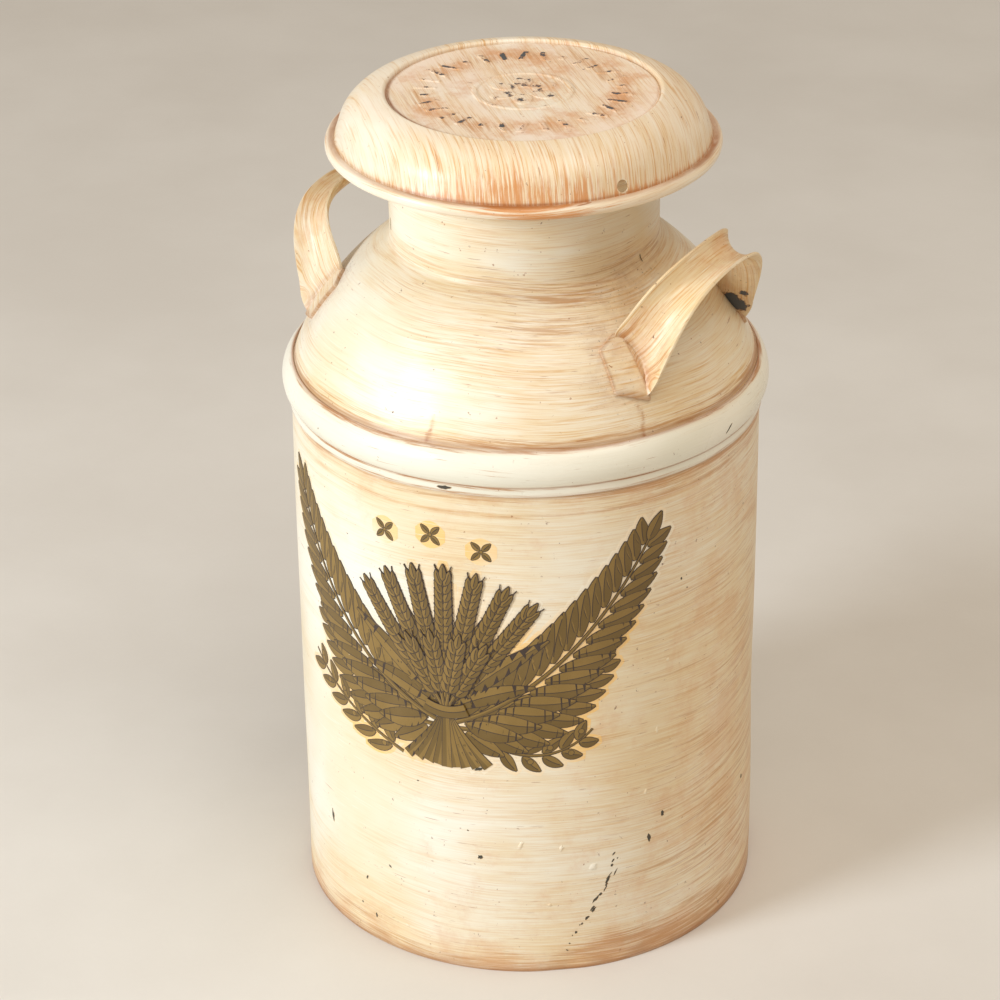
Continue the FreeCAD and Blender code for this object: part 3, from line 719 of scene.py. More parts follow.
def lid_sway(angle, height, radius):
    sway = 0.25 * np.sin(2 * angle + 1.3) + 0.12 * np.sin(7 * angle - 0.4) + 0.08 * np.sin(15 * angle)
    return sway * ease(radius, 100, 122) * (1 - 0.6 * ease(radius, 126, 131))


def rim_sway(angle, height, radius):
    return lid_sway(angle, height, 0 * radius + BEAD_CENTRE[0])


def drill_hole(piece):
    """The hole low on the lid's dome, cut straight through the sheet."""
    out, where, z = HOLE_CENTRE
    turn, lift = math.radians(where), math.radians(HOLE_LIFT)
    axis = Vector((math.cos(lift) * math.cos(turn), math.cos(lift) * math.sin(turn), math.sin(lift)))
    bpy.ops.mesh.primitive_cylinder_add(
        vertices=48, radius=HOLE_R * MM, depth=DRILL_LENGTH * MM,
        location=Vector((out * math.cos(turn), out * math.sin(turn), z)) * MM,
        rotation=axis.to_track_quat("Z", "Y").to_euler())
    drill = bpy.context.object
    cut = piece.modifiers.new("hole", "BOOLEAN")
    cut.operation = "DIFFERENCE"
    cut.solver = "EXACT"
    cut.object = drill
    depsgraph = bpy.context.evaluated_depsgraph_get()
    mesh = bpy.data.meshes.new_from_object(piece.evaluated_get(depsgraph))
    piece.modifiers.remove(cut)
    piece.data = mesh
    mesh.set_sharp_from_angle(angle=math.radians(40))
    bpy.data.objects.remove(drill)


def make_lid():
    cover = sheet_outline((LEDGE_R, LEDGE_Z), 0, LID_MOVES, SHEET)
    piece = turned("lid_cover", cover, even_angles(540), [lid_paint], "lid_paint", "lid", lid_sway, lid_marks)
    drill_hole(piece)
    outside = arc(BEAD_CENTRE, BEAD_R, *BEAD_TURN, 7)
    inside = arc(BEAD_CENTRE, BEAD_R - SHEET, *BEAD_TURN[::-1], 7)
    turned("lid_rim_curl", joined(outside, inside), even_angles(480), [rim_paint], "lid_paint", "lid",
           rim_sway, rim_marks)
    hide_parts("lid_umbrella")


def raised_marks(rad, ang):
    """Height from 0 to 1 of the disc's marks: a ring of bars, a six-petalled bloom and a thin ring."""
    number = np.round(ang / BAR_PITCH)
    across = (ang - number * BAR_PITCH) * BAR_R
    kind = (number.astype(int) * 7 + 3) % 5
    lean = np.where(kind == 1, 0.3, np.where(kind == 3, -0.3, 0.0)) * (rad - BAR_R)
    half = np.where(kind == 4, 3.0, 7.5)
    bars = 1 - ease(np.abs(across - lean), 1.4, 2.4)
    bars = bars * (1 - ease(np.abs(rad - BAR_R), half - 0.6, half + 0.6))
    petals = 6 + 19 * np.abs(np.cos(3 * ang)) ** 0.6
    bloom = (1 - ease(rad, petals - 0.9, petals + 0.9)) * ease(rad, 6.0, 7.6)
    ring = 1 - ease(np.abs(rad - BLOOM_RING_R), 1.2, 2.2)
    return np.maximum(bars, np.maximum(bloom, ring))


def disc_marks(rad, ang, height):
    """Stain and wear round the bars and the middle, and glaze pooled at the disc's edge."""
    patchy = 0.5 + 0.3 * np.sin(3 * ang + 0.8) + 0.2 * np.sin(7 * ang - 0.5)
    near_bars, near_middle = bell(rad - BAR_R, 14), bell(rad, 30)
    glaze = 0.1 + 0.7 * near_bars * (0.4 + 0.6 * patchy) + 0.35 * near_middle
    wear = height * (0.38 + 0.34 * patchy) * np.maximum(near_bars, 0.8 * near_middle)
    groove = (0.9 * bell(apart(ang, KEY_LIT_SIDE), 0.62) + 0.15) * bell(rad - DISC_R + 0.6, 0.7)
    return {"glaze": np.clip(glaze, 0, 1), "wear": wear, "pool": groove}


def make_disc():
    """Lid disc with worn raised marks: a ring of plain bars and a plain centre."""
    spans = ((DISC_HUB_R, 38, 60), (38, 56, 12), (56, 78, 42), (78, DISC_R - 0.6, 10))
    radii = np.unique(np.concatenate([np.linspace(*span) for span in spans]))
    angles = even_angles(720)
    rad, ang = radii[:, None] + 0 * angles, angles[None, :] + 0 * radii[:, None]
    x, y = rad * np.cos(ang), rad * np.sin(ang)
    height = raised_marks(rad, ang)
    top = DISC_TOP - 0.15 + 0.55 * height + 0.12 * np.sin(x / 31 + 1) * np.sin(y / 27)
    rows = [around(rad, ang, top).reshape(-1, 3)]
    underside = ((DISC_R, DISC_TOP - 0.7), (DISC_R, LEDGE_Z), (DISC_HUB_R, LEDGE_Z))
    for r, z in underside:
        rows.append(around(r, angles, np.full_like(angles, z)))
    faces = [face[::-1] for face in tube_faces(len(radii) + len(underside), len(angles))]
    pad = np.zeros(len(underside) * len(angles))
    marks = {key: np.concatenate([v.ravel(), pad]) for key, v in disc_marks(rad, ang, height).items()}
    piece = build("lid_disc_marked", np.concatenate(rows), faces, [disc_paint], "lid",
                  marks=marks)
    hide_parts("lid_top_disc")


# --- handles ------------------------------------------------------------------------------------
def unit(vector):
    return vector / np.linalg.norm(vector)


def shoulder_height(radius):
    return ARC_AXIS_Z + math.sqrt(ARC_R ** 2 - (radius - ARC_AXIS_R) ** 2)


def shoulder_normal(angle, radius):
    out, up = radius - ARC_AXIS_R, shoulder_height(radius) - ARC_AXIS_Z
    turn = math.radians(-angle)
    return unit(np.array([out * math.cos(turn), out * math.sin(turn), up]))


def on_shoulder(angle, radius, lift):
    """Point over the front foot of the right handle."""
    turn = math.radians(-angle)
    base = np.array([radius * math.cos(turn), radius * math.sin(turn), shoulder_height(radius)])
    return base + shoulder_normal(angle, radius) * lift


def leg_point(foot, grip, progress):
    """Point on a lip's curve, which leaves the foot at a slant and meets the grip level."""
    out, spread, height = foot
    lean = np.array([grip[0] - out, 0, grip[1] - height])
    rise = np.linalg.norm(lean)
    along = (-spread, -spread + FOOT_PULL * math.cos(FOOT_RISE), -GRIP_PULL, 0.0)
    up = (0.0, FOOT_PULL * math.sin(FOOT_RISE), rise, rise)
    rest = 1 - progress
    weights = (rest ** 3, 3 * rest ** 2 * progress, 3 * rest * progress ** 2, progress ** 3)
    climb = sum(w * u for w, u in zip(weights, up))
    base = np.array([out, sum(w * a for w, a in zip(weights, along)), height])
    return base + lean / rise * climb


def over_shoulder(points):
    """How far points stand off the shoulder's dome, and the way out of it."""
    radius = np.hypot(points[..., 0], points[..., 1])
    out, up = radius - ARC_AXIS_R, points[..., 2] - ARC_AXIS_Z
    reach = np.hypot(out, up)
    way = np.stack([points[..., 0] / radius * out, points[..., 1] / radius * out, up], axis=-1)
    return reach - ARC_R, way / reach[..., None]


def leg_frame(progress):
    """Lips, outward direction and hollow of the strap, from foot (0) to grip (1)."""
    step = 0.01
    inner, outer = leg_point(FOOT_INNER, GRIP_INNER, progress), leg_point(FOOT_OUTER, GRIP_OUTER, progress)
    travel = sum(leg_point(f, g, progress + step) - leg_point(f, g, progress - step)
                 for f, g in ((FOOT_INNER, GRIP_INNER), (FOOT_OUTER, GRIP_OUTER)))
    ease_in = min(1.0, progress / TROUGH_REACH)
    depth = TROUGH_START + (TROUGH_DEPTH - TROUGH_START) * ease_in * (2 - ease_in)
    return inner, outer, np.cross(outer - inner, travel), depth


def foot_frame(inner_angle, inner_r, outer_angle, outer_r):
    """The same for the flat end of the strap, which lies on its foot plate."""
    lift = PAD_T - PAD_COVER
    normal = shoulder_normal((inner_angle + outer_angle) / 2, (inner_r + outer_r) / 2)
    inner = on_shoulder(inner_angle, inner_r, 0) + normal * lift
    outer = on_shoulder(outer_angle, outer_r, 0) + normal * lift
    return inner, outer, normal, FOOT_SINK


def strap_loop(inner, outer, outward, depth):
    """Closed section of the strap: hollow face, rounded lip, back face, rounded lip."""
    across = outer - inner
    half = np.linalg.norm(across) / 2
    across = across / (2 * half)
    middle = (inner + outer) / 2
    normal = unit(outward - across * outward.dot(across))
    sweep = 2 * math.atan(depth / half)

    def face(offset):
        turn = np.linspace(-1, 1, STRAP_COLUMNS) * sweep
        side = half * np.sin(turn) / math.sin(sweep) + offset * np.sin(turn)
        drop = depth * (np.cos(turn) - math.cos(sweep)) / (1 - math.cos(sweep))
        return middle + across * side[:, None] - normal * (drop + offset * np.cos(turn))[:, None]

    upper, lower = face(0.0), face(STRAP_T)
    lips = [(upper[end] + lower[end]) / 2 + across * way * LIP_BULGE for end, way in ((-1, 1), (0, -1))]
    for end in (0, -1):
        upper[end] += (lower[end] - upper[end]) * LIP_TRIM
        lower[end] += (upper[end] - lower[end]) * LIP_TRIM
    return np.concatenate([upper, [lips[0]], lower[::-1], [lips[1]]])


def smoothed(stations, steps):
    """Points on a smooth curve through the stations, for every column at once."""
    padded = np.concatenate([[2 * stations[0] - stations[1]], stations, [2 * stations[-1] - stations[-2]]])
    rows = []
    for before, start, end, after in zip(padded, padded[1:], padded[2:], padded[3:]):
        for t in np.arange(steps) / steps:
            rows.append(0.5 * (2 * start + (end - before) * t
                               + (2 * before - 5 * start + 4 * end - after) * t ** 2
                               + (3 * start - before - 3 * end + after) * t ** 3))
    return np.array(rows + [stations[-1]])


def lengthwise(rows):
    """Distance along the strap's middle line at each row."""
    middle = rows.mean(axis=1)
    return np.concatenate([[0], np.cumsum(np.linalg.norm(np.diff(middle, axis=0), axis=1))])


def hollowed(rows, face):
    """The strap pressed in just past each fold, and kept out of the plates and the shoulder."""
    width = rows.shape[1]
    column, last = np.arange(width), width // 2 - 2.0
    across = np.where(column < width // 2, column / last, (width - 2.0 - column) / last)
    hollow = 1 - np.clip(np.abs(2 * across - 1), 0, 1) ** 2
    reach = lengthwise(rows)
    from_fold = np.minimum(reach - reach[STEPS], reach[-1 - STEPS] - reach)
    way = over_shoulder(rows)[1]
    rows = rows - way * (FOOT_SCOOP * bell(from_fold - 6, 8.0)[:, None] * hollow)[..., None]
    off, way = over_shoulder(rows)
    lowest = np.where(face > 0, PAD_T - 1.0, -0.6)
    return rows + way * np.maximum(lowest - off, 0)[..., None]


def strap_marks(rows, along, face, lips):
    """Stain in the trough, glaze pooled against the plates, and bare patches under the rear leg that also
    serve as painted shade there.
    """
    half = rows.shape[1] // 2
    share = along / along[-1]
    side = (np.arange(rows.shape[1]) - 1.5 * half) / (0.5 * half)
    ends = bell(share, 0.12) + bell(share - 1, 0.12)
    joint = face * bell(over_shoulder(rows)[0] - PAD_T - 0.8, 1.6) * ends
    trough = face * (0.15 + 0.35 * np.sin(along / 19.0) - 0.3 * bell(share - 0.24, 0.05))
    # The bare patches under the rear leg are partly real wear and partly painted shade on the leg's
    # underside.
    torn = bell(share - 0.92, 0.022) * bell(side + 0.55, 0.35)
    torn = torn + 0.9 * bell(share - 0.872, 0.010) * bell(side + 0.68, 0.13)
    glaze = (trough + 0.4 * ends) * (1 - lips)
    dirt = (0.35 * (1 - face) + 0.35 * ends) * (1 - lips)
    wear = 0.08 * lips + 1.5 * (1 - face) * torn
    return {"glaze": np.clip(glaze, -0.5, 1), "pool": np.clip(0.6 * joint, 0, 1), "dirt": dirt,
            "wear": np.clip(wear, 0, 1)}


def make_strap():
    """Vertices, faces, strap coordinates and marks of one strap, on +X."""
    front = [strap_loop(*foot_frame(*lips)) for lips in FOOT_LIPS]
    front += [strap_loop(*leg_frame(progress)) for progress in LEG_STATIONS]
    rear = [loop * np.array([1, -1, 1]) for loop in front[::-1]]
    rows = smoothed(np.array(front + [strap_loop(*leg_frame(1.0))] + rear), STEPS)
    count, width = rows.shape[:2]
    half, column = width // 2, np.arange(width)
    edges = (0, half - 2, half - 1, half, width - 2, width - 1)
    face = np.tile(column < half, (count, 1)).astype(float)
    lips = np.tile(np.isin(column, edges), (count, 1)).astype(float)
    rows = hollowed(rows, face)
    along = lengthwise(rows)[:, None] + np.zeros((1, width))
    round_it = np.cumsum(np.linalg.norm(np.roll(rows, -1, axis=1) - rows, axis=2), axis=1)
    uv = np.stack([along, round_it], axis=-1) * MM
    marks = {key: values.ravel() for key, values in strap_marks(rows, along, face, lips).items()}
    return rows.reshape(-1, 3), tube_faces(count, width), uv.reshape(-1, 2), marks


def make_pad_plate(flip):
    """Vertices, faces, coordinates and marks of one foot plate."""
    corners = np.array([(math.radians(a) * r, r) for a, r in PAD_CORNERS])
    middle = corners.mean(axis=0)
    edge = []
    for corner, after in zip(corners, np.roll(corners, -1, axis=0)):
        edge.extend(corner + (after - corner) * t for t in (0.04, 0.12, 0.3, 0.5, 0.7, 0.88, 0.96))
    edge = np.array(edge)
    rings = ((1.0, -0.6), (1.0, PAD_T - 0.5), (0.975, PAD_T - 0.05), (0.8, PAD_T), (0.5, PAD_T), (0.2, PAD_T))
    verts, uv, pool = [], [], []
    for scale, lift in rings:
        for spot in middle + (edge - middle) * scale:
            verts.append(on_shoulder(math.degrees(spot[0] / spot[1]), spot[1], lift))
            uv.append(spot * MM)
            pool.append(0.55 if scale > 0.9 else 0.0)
    verts, faces = np.array(verts), tube_faces(len(rings), len(edge))
    if flip:
        verts = verts * np.array([1, -1, 1])
        faces = [face[::-1] for face in faces]
    ones = np.ones(len(verts))
    marks = {"glaze": 0.1 * ones, "pool": np.array(pool), "dirt": 0.45 * ones, "wear": 0 * ones}
    return verts, faces, np.array(uv), marks


def outward_faces(verts, faces):
    """Turn all faces round if the closed shell is inside out."""
    volume = 0.0
    for face in faces:
        a = verts[face[0]]
        for b, c in zip(face[1:], face[2:]):
            volume += np.dot(a, np.cross(verts[b], verts[c]))
    return faces if volume > 0 else [face[::-1] for face in faces]


def make_handle(name, node, turn, wear):
    """A strap and its two foot plates in one piece, turned to its side of the can."""
    shells = [make_strap(), make_pad_plate(False), make_pad_plate(True)]
    verts, faces, uv = [], [], []
    marks = {key: [] for key in ("glaze", "pool", "dirt", "wear")}
    total = 0
    for points, polygons, coordinates, values in shells:
        polygons = outward_faces(points, polygons)
        faces.extend(tuple(index + total for index in polygon) for polygon in polygons)
        total += len(points)
        verts.append(points)
        uv.append(coordinates)
        for key in marks:
            marks[key].append(values[key])
    verts = np.concatenate(verts)
    spin = np.array([[math.cos(turn), -math.sin(turn), 0], [math.sin(turn), math.cos(turn), 0], [0, 0, 1]])
    marks = {key: np.concatenate(values) for key, values in marks.items()}
    marks["wear"] = marks["wear"] * wear
    piece = build(name, verts @ spin.T, faces, [handle_paint], "can", marks=marks,
                  uv=np.concatenate(uv), crease=46)
    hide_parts(node)


# --- emblem, chips and flakes laid on the wall --------------------------------------------------
def wall_angle(along):
    """Direction of a place along the wall from the emblem's middle."""
    return math.radians(EMBLEM_ANGLE) + along / BODY_R


def on_body(along, up, lift):
    """Points on the wall: along it from the emblem's middle, and up from the floor."""
    angle = wall_angle(along)
    return around(BODY_R + body_sway(angle, up) + lift, angle, up)


def on_hoop(along, up, lift):
    centre, size = circle_through(HOOP_FOOT, HOOP_CREST, HOOP_TOP)
    bead = centre[0] + np.sqrt(np.maximum(size ** 2 - (up - centre[1]) ** 2, 0))
    radius = np.where(up > HOOP_FOOT[1], bead, HOOP_FOOT[0])
    return around(radius + 0.1 + lift, wall_angle(along), up)


def on_neck(along, up, lift):
    below = np.clip(510 - up, 0, 8)
    flare = FILLET_R - np.sqrt(np.maximum(FILLET_R ** 2 - below ** 2, 0))
    return around(NECK_R + 0.1 + lift + flare, wall_angle(along), up)


LAID_ROOT = -0.15             # how deep laid shapes reach into the sheet, in millimetres


class Laid:
    """Thin closed shapes laid on the can and gathered into one mesh."""

    def __init__(self, surface=on_body):
        self.surface = surface
        self.verts, self.faces, self.index = [], [], []
        self.total = 0
        self.grounds = 0

    def ground_lift(self):
        """Height of the next patch of ground, each a hair above the last."""
        self.grounds += 1
        return 0.03 + 0.0004 * self.grounds

    def add(self, points, faces, index):
        self.faces.extend(tuple(i + self.total for i in face) for face in faces)
        self.index.extend([index] * len(faces) if isinstance(index, int) else index)
        self.verts.append(points)
        self.total += len(points)

    def strip(self, line, half, lift, left=0, right=None):
        """Ribbon along a line with its half widths. Its two sides may have their own materials."""
        line, half = np.asarray(line, float), np.asarray(half, float) + np.zeros(len(line))
        travel = np.gradient(line, axis=0)
        travel /= np.linalg.norm(travel, axis=1)[:, None]
        beside = np.stack([-travel[:, 1], travel[:, 0]], axis=1) * half[:, None]
        spots = [line + beside, line, line - beside]
        columns = [self.surface(s[:, 0], s[:, 1], lift) for s in spots]
        columns += [self.surface(s[:, 0], s[:, 1], LAID_ROOT) for s in (spots[2], spots[0])]
        points = np.stack(columns, axis=1).reshape(-1, 3)
        right = left if right is None else right
        faces = [face[::-1] for face in tube_faces(len(line), len(columns))]
        self.add(points, faces, [left, right, right, right, left] * (len(line) - 1) + [left, left])

    def blot(self, along, up, ring, lift, index=0, crown=0.0):
        """Flat or domed patch inside a closed ring of points round a spot."""
        count = len(ring)
        layers = [(1.0, LAID_ROOT), (1.0, lift), (0.55, lift + 0.8 * crown)]
        points = [self.surface(along + ring[:, 0] * s, up + ring[:, 1] * s, h) for s, h in layers]
        points.append(self.surface(np.array([along]), np.array([up]), lift + crown))
        faces = [tuple(face) for face in lattice(len(layers), count, loop_rows=False).tolist()]
        faces += [(2 * count + i, 2 * count + (i + 1) % count, 3 * count) for i in range(count)]
        faces.append(tuple(range(count))[::-1])
        self.add(np.concatenate(points), faces, index)

    def finish(self, name, materials, slot, crease):
        build(name, np.concatenate(self.verts), self.faces, materials, "can", self.index, crease=crease)


def bezier(points, count):
    """Points along a Bezier curve of any order."""
    t = np.linspace(0, 1, count)[:, None]
    work = [np.asarray(p, float) + 0 * t for p in points]
    while len(work) > 1:
        work = [a + (b - a) * t for a, b in zip(work, work[1:])]
    return work[0]


HALO, LIGHT_GOLD, DARK_GOLD, INK = range(4)    # the emblem's material slots
LAYER = 0.002                 # how far one printed layer stands over the next, in millimetres
INK_EDGE = 0.4
FROND_SPREAD = 44.0           # degrees between a frond's stem and its leaves


def swell(line, by):
    """A line made longer by the same amount at both ends."""
    length = np.linalg.norm(np.diff(line, axis=0), axis=1).sum()
    return line + (line - line.mean(axis=0)) * (2 * by / length)


def ribbon(emblem, line, half, lift):
    """Two-toned strip with a dark edge."""
    emblem.strip(line, half + INK_EDGE, lift, INK)
    emblem.strip(line, half, lift + LAYER, LIGHT_GOLD, DARK_GOLD)
    return lift + 2 * LAYER


def leaf(emblem, base, heading, length, half, lift, bend=0.0, count=9, outline=0.45, ground=2.6):
    """Leaf with a dark edge, two tones and a midrib, on its patch of amber ground."""
    share = np.linspace(0, 1, count)
    turn = math.radians(heading) + math.radians(bend) * share
    step = length / (count - 1)
    line = np.asarray(base, float) + np.stack([np.cumsum(np.cos(turn)), np.cumsum(np.sin(turn))], 1) * step
    shape = np.sin(np.pi * np.clip(share, 0.015, 0.985) ** 0.82) ** 0.75
    if ground:
        emblem.strip(swell(line, ground), half * shape + ground, emblem.ground_lift(), HALO)
    emblem.strip(swell(line, outline), half * shape + outline, lift, INK)
    emblem.strip(line, half * shape, lift + LAYER, LIGHT_GOLD, DARK_GOLD)
    emblem.strip(line[1:-1], 0.3, lift + 2 * LAYER, INK)
    return lift + 3 * LAYER


def frond(emblem, path, pairs, longest, half, lift):
    """Stem with leaves in pairs, overlapping like shingles from the tip down."""
    stem = bezier(path, pairs * 4 + 1)
    for pair in range(pairs, 0, -1):
        at_stem = pair * 4 - 2
        ahead = stem[at_stem + 1] - stem[at_stem - 1]
        heading = math.degrees(math.atan2(ahead[1], ahead[0]))
        share = pair / pairs
        swelling = 0.55 + 0.45 * math.sin(math.pi * min(1.0, 0.18 + share * 0.75))
        length = longest * swelling * (1.1 - 0.36 * share)
        for side in (1, -1):
            lift = leaf(emblem, stem[at_stem], heading + side * FROND_SPREAD, length,
                        half * (1.1 - 0.35 * share), lift, -side * 16)
    tip = stem[-1] - stem[-3]
    lift = leaf(emblem, stem[-2], math.degrees(math.atan2(tip[1], tip[0])), longest * 0.5, half * 0.7, lift)
    return ribbon(emblem, stem, np.linspace(1.5, 0.5, len(stem)), lift)


def disc_ring(radius):
    turn = np.linspace(0, 2 * math.pi, 16, endpoint=False)
    return np.stack([radius * np.cos(turn), radius * np.sin(turn)], axis=1)


def berry(emblem, spot, radius, lift):
    emblem.blot(spot[0], spot[1], disc_ring(radius + 0.45), lift, INK)
    emblem.blot(spot[0], spot[1], disc_ring(radius), lift + LAYER, LIGHT_GOLD)
    return lift + 2 * LAYER


def sprig(emblem, path, pairs, length, half, lift):
    """Leafy twig with berries."""
    stem = bezier(path, pairs * 4 + 3)
    lift = ribbon(emblem, stem, np.linspace(1.1, 0.5, len(stem)), lift)
    for pair in range(pairs):
        spot = pair * 4 + 2
        ahead = stem[spot + 1] - stem[spot - 1]
        heading = math.degrees(math.atan2(ahead[1], ahead[0]))
        for side in (1, -1):
            size = length * (1 - 0.32 * pair / pairs) * (1.0 if side > 0 else 0.86)
            lift = leaf(emblem, stem[spot], heading + side * 48, size, half, lift, -side * 24)
        across = np.array([-ahead[1], ahead[0]]) / np.linalg.norm(ahead)
        lift = berry(emblem, stem[spot + 2] + across * 5.0 * (-1) ** pair, 1.9, lift)
    return lift


def ear(emblem, foot, lean, reach, lift, pairs=9):
    """Ear of wheat on its stalk: awns, grains in pairs and a grain at the tip."""
    heading = 90 - lean
    way = np.array([math.cos(math.radians(heading)), math.sin(math.radians(heading))])
    foot = np.asarray(foot, float)
    start = foot + way * reach
    stalk = run(foot, start + way * 6.0 * pairs, 7)
    emblem.strip(run(start, stalk[-1], 7), 9.5, emblem.ground_lift(), HALO)
    lift = ribbon(emblem, stalk, 1.0, lift)
    for pair in range(pairs):
        spot = start + way * (pair * 6.3)
        for side in (1, -1):
            turn = math.radians(heading + side * 20)
            tip = spot + np.array([math.cos(turn), math.sin(turn)]) * (21 - 0.4 * pair)
            emblem.strip(run(spot, tip, 5), 0.3, lift, INK)
    lift += LAYER
    for pair in range(pairs):
        spot = start + way * (pair * 6.3)
        size = 3.1 - 0.09 * pair
        for side in (1, -1):
            lift = leaf(emblem, spot, heading + side * 31, 12.0, size, lift, -side * 22, 7, 0.45, 0)
    return leaf(emblem, start + way * 6.0 * pairs, heading, 12.0, 2.4, lift, 0, 7, 0.45)


SHEAF_LEAVES = (              # lean from upright in degrees, length
    (-58, 60), (58, 60), (-42, 84), (42, 84), (-30, 70), (30, 70), (-18, 78), (18, 78), (0, 70),
)


def make_emblem():
    """Wheat sheaf between leafy fronds, in olive gold on an amber ground."""
    emblem = Laid()
    for side in (-1, 1):
        upper = [(side * 5, 204), (side * 62, 226), (side * 114, 286), (side * 144, 340)]
        lower = [(side * 5, 200), (side * 48, 200), (side * 84, 218), (side * 110, 252)]
        frond(emblem, lower, 9, 33.0, 6.2, 0.18)
        frond(emblem, upper, 15, 43.0, 6.9, 0.30)
    sprig(emblem, [(-34, 171), (-66, 184), (-98, 196), (-128, 216)], 6, 23.0, 4.2, 0.19)
    sprig(emblem, [(32, 190), (58, 176), (84, 180), (103, 200)], 5, 21.0, 4.0, 0.19)
    knot = (0, 213)
    lift = 0.5
    for spread in (-30, 30, -22, 22, -14, 14, -7, 7, 0):
        straw = bezier([knot, (spread * 0.25, 196), (spread, 167 + abs(spread) * 0.14)], 9)
        emblem.strip(swell(straw, 2.6), 6.6, emblem.ground_lift(), HALO)
        lift = ribbon(emblem, straw, np.linspace(2.2, 3.6, 9), lift)
    for lean, size in SHEAF_LEAVES:
        lift = leaf(emblem, knot, 90 - lean, size, 6.4, lift, -0.4 * lean)
    for lean in (-36, 36, -24, 24, -12, 12, 0):
        lift = ear(emblem, knot, lean, 47 - 0.12 * abs(lean), lift)
    for lean in (-28, 28, -10, 10):
        lift = ear(emblem, knot, lean, 14, lift, 6)
    tie = bezier([(-15, 216), (0, 209), (15, 216)], 11)
    lift = ribbon(emblem, tie, 4.6, lift)
    emblem.strip(tie, 0.3, lift, INK)
    for spot in ((-45, 344), (-9, 349), (27, 341)):
        emblem.strip(run((spot[0] - 11, spot[1]), (spot[0] + 11, spot[1]), 3),
                     10.5 * np.sin(np.linspace(0.4, math.pi - 0.4, 9)), emblem.ground_lift(), HALO)
        for quarter in range(4):
            leaf(emblem, spot, 45 + 90 * quarter, 8.0, 2.1, 0.15 + 3 * LAYER * quarter, 0, 7, 0.4, 0)
        berry(emblem, spot, 1.2, 0.2)
    tones = [amber_ground, light_gold, dark_gold, ink]
    emblem.finish("front_emblem", tones, "emblem_print", crease=60)


def ragged(wide, tall, tilt, count=13):
    """Closed ring of a torn edge."""
    turn = np.linspace(0, 2 * math.pi, count, endpoint=False)
    size = rng.uniform(0.62, 1.15, count)
    x, y = wide / 2 * size * np.cos(turn), tall / 2 * size * np.sin(turn)
    lean = math.radians(tilt)
    across = x * math.cos(lean) - y * math.sin(lean)
    up = x * math.sin(lean) + y * math.cos(lean)
    return np.stack([across, up], axis=1)


CHIPS = {                     # direction, height, width, height of the chip, tilt
    "body": (on_body, (
        (-119, 83, 3.0, 9.5, 8), (-105, 50, 1.8, 3.4, -20), (-72, 96, 3.4, 3.6, 30), (-97, 69, 3.0, 1.4, -30),
        (-102, 21, 2.0, 4.0, 10), (-107, 26, 1.6, 1.8, 0), (-25, 115, 2.8, 4.6, 10), (-29, 99, 2.8, 7.0, 12),
        (-72, 169, 6.5, 3.0, 12), (-75, 117, 1.5, 1.2, 0), (-20, 300, 1.6, 2.2, 10), (-88, 150, 1.6, 1.2, 0),
        (10, 96, 3.0, 4.0, 20), (40, 210, 2.5, 5.0, -10), (118, 60, 4.0, 3.0, 10), (-170, 130, 3.0, 6.0, 15),
        (150, 250, 2.0, 3.5, -25))),
    "hoop": (on_hoop, ((-79, 388, 11.0, 2.6, 2), (-6, 402, 8.0, 1.2, 40), (60, 402, 5.0, 2.0, 10),
                       (170, 404, 4.0, 3.0, 0))),
    "neck": (on_neck, ((-138, 519, 1.8, 8.0, 4), (-3, 507, 1.4, 5.5, 6), (70, 530, 2.0, 4.0, 0))),
}
# The long scratch follows a curve through these directions and heights, as a row of small chips.
SCRATCH = ((-38.0, 92.0), (-37.5, 76.0), (-43.0, 58.0), (-46.0, 42.0), (-51.0, 18.0))
SCRATCH_CHIPS = 20
FLAKES = (                    # direction, height, width, height of the flake, tilt
    (-62, 108, 3.0, 9.0, -20), (-44, 85, 7.0, 5.5, 30), (-55, 57, 4.0, 2.6, -30), (-52, 104, 3.0, 5.0, -25),
    (-30, 138, 3.0, 5.0, -15), (-27, 186, 2.6, 5.0, 0), (-92, 24, 4.0, 2.5, 0), (-24, 240, 2.4, 3.6, 10),
)


def along_wall(where):
    return apart(math.radians(where), EMBLEM_ANGLE) * BODY_R


def chip(laid, where, up, wide, tall, tilt):
    """A torn edge of primer with the bare steel inside it."""
    ring = ragged(wide, tall, tilt)
    laid.blot(along_wall(where), up, ring * 1.14 + np.array([0.1, -0.1]), 0.05, 0)
    laid.blot(along_wall(where), up, ring, 0.09, 1)


def make_chips():
    for name, (surface, spots) in CHIPS.items():
        laid = Laid(surface)
        for spot in spots:
            chip(laid, *spot)
        if name == "body":
            for where, up in bezier(SCRATCH, SCRATCH_CHIPS):
                size = rng.uniform((0.7, 1.0, -50), (2.4, 8.0, -25)) * (1, bell(up - 68, 30), 1) + (0, 0.8, 0)
                chip(laid, where + rng.uniform(-0.8, 0.8), up + rng.uniform(-2.5, 2.5), *size)
        laid.finish("paint_chips_" + name, [chip_edge, chip_steel], "body_paint", crease=60)
    laid = Laid()
    for where, up, wide, tall, tilt in FLAKES:
        laid.blot(along_wall(where), up, ragged(wide, tall, tilt, 15), 0.12, 0, crown=0.5)
    laid.finish("lifted_paint", [body_paint], "body_paint", crease=50)


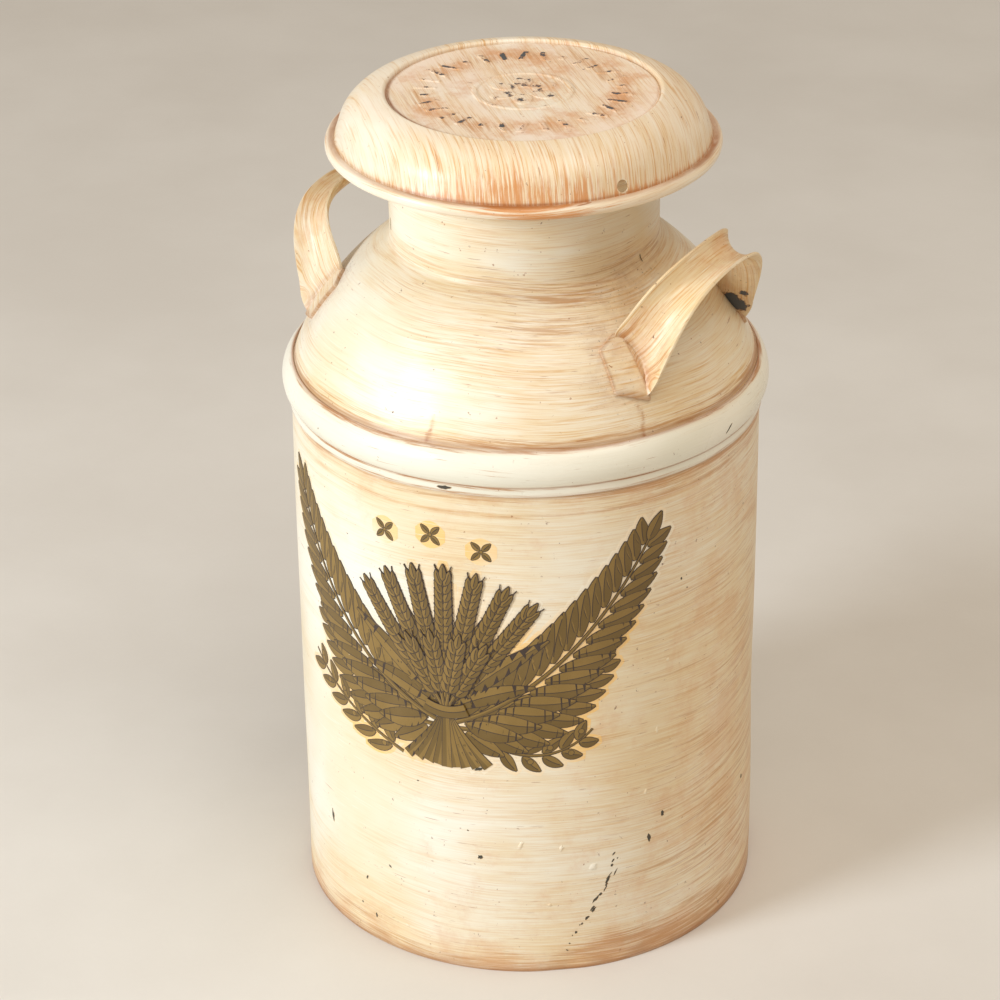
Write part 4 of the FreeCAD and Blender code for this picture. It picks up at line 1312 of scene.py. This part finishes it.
def dress_cad():
    """Materials for the CAD nodes that show as they are."""
    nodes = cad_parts
    looks = {
        "side_seam_solder": body_paint, "foot_ring": tinned, "bottom_pan": tinned, "bottom_solder": solder,
        "breast_solder": solder, "mouth_ring": tinned, "mouth_ring_wire": wire_steel, "mouth_solder": solder,
        "lid_rim_wire": wire_steel, "lid_plug_skirt": tinned, "lid_plug_pan": tinned,
        "lid_plug_solder": solder,
    }
    for name, material in looks.items():
        mesh = nodes[name].data
        if not mesh.materials:
            mesh.materials.append(material)
        for index in range(len(nodes[name].material_slots)):
            nodes[name].material_slots[index].material = material


FLOOR_SIZE = 14.0             # metres, like the lights' and the camera's places
LIGHTS_AIM = Vector((0, 0, 0.33))


def make_floor():
    graph = Graph("floor")
    cloud = graph.noise(graph.object, scale=2.5, detail=6.0)
    colour = graph.mix(graph.band(cloud, 0.3, 0.7), rgb(228, 224, 217), rgb(219, 214, 206))
    grain = graph.noise(graph.object, scale=260.0, detail=3.0)
    material = graph.finish(colour, graph.band(grain, 0.3, 0.7, 0.6, 0.8), graph.bump(grain, 0.1, 0.3))
    bpy.ops.mesh.primitive_plane_add(size=FLOOR_SIZE, location=(0, 0, 0))
    floor = bpy.context.object
    floor.name = "floor"
    floor.data.materials.append(material)


def area_light(name, azimuth, elevation, distance, size, power, colour):
    """Round soft light in a direction in degrees, pointed at the middle of the can."""
    turn, lift = math.radians(azimuth), math.radians(elevation)
    aim = Vector((math.cos(lift) * math.cos(turn), math.cos(lift) * math.sin(turn), math.sin(lift)))
    data = bpy.data.lights.new(name, "AREA")
    data.shape = "DISK"
    data.size = size
    data.energy = power
    data.color = colour
    light = bpy.data.objects.new(name, data)
    light.location = LIGHTS_AIM + aim * distance
    light.rotation_euler = aim.to_track_quat("Z", "Y").to_euler()
    bpy.context.scene.collection.objects.link(light)


def make_camera():
    """Camera on the photograph's side of the can: 30 degrees round from the front, looking down."""
    pitch, yaw, roll = math.radians(27.77), math.radians(-0.49), math.radians(-0.72)
    view = math.radians(30.2)
    back, height, focal_length = 2.235, 1.472, 126.6
    spin = Matrix.Rotation(view, 3, "Z")
    level = math.cos(pitch)
    ahead = spin @ Vector((math.sin(yaw) * level, math.cos(yaw) * level, -math.sin(pitch)))
    right = spin @ Vector((math.cos(yaw), -math.sin(yaw), 0))
    up = right.cross(ahead)
    side = math.cos(roll) * right + math.sin(roll) * up
    top = -math.sin(roll) * right + math.cos(roll) * up
    pose = Matrix((side, top, -ahead)).transposed().to_4x4()
    pose.translation = spin @ Vector((0, -back, height))
    data = bpy.data.cameras.new("camera")
    data.lens = focal_length
    camera = bpy.data.objects.new("camera", data)
    camera.matrix_world = pose
    bpy.context.scene.collection.objects.link(camera)
    bpy.context.scene.camera = camera


def make_world():
    """Warm even light from all round."""
    world = bpy.data.worlds.new("studio")
    world.use_nodes = True
    background = world.node_tree.nodes["Background"]
    background.inputs["Color"].default_value = (1.0, 0.88, 0.74, 1)
    background.inputs["Strength"].default_value = 0.46
    bpy.context.scene.world = world
    bpy.context.scene.view_settings.view_transform = "Standard"


make_world()
make_camera()
make_floor()
area_light("key", azimuth=-118, elevation=22, distance=3.2, size=1.0, power=80, colour=(0.84, 0.92, 1.0))
area_light("fill", azimuth=-20, elevation=66, distance=3.4, size=2.4, power=44, colour=(1.0, 0.93, 0.84))
dress_cad()
make_body()
make_shoulder()
make_hoop()
make_lid()
make_disc()
make_handle("handle_right_strap", "handle_right", 0.0, 1.0)
make_handle("handle_left_strap", "handle_left", LEFT_TURN, 0.35)
make_emblem()
make_chips()
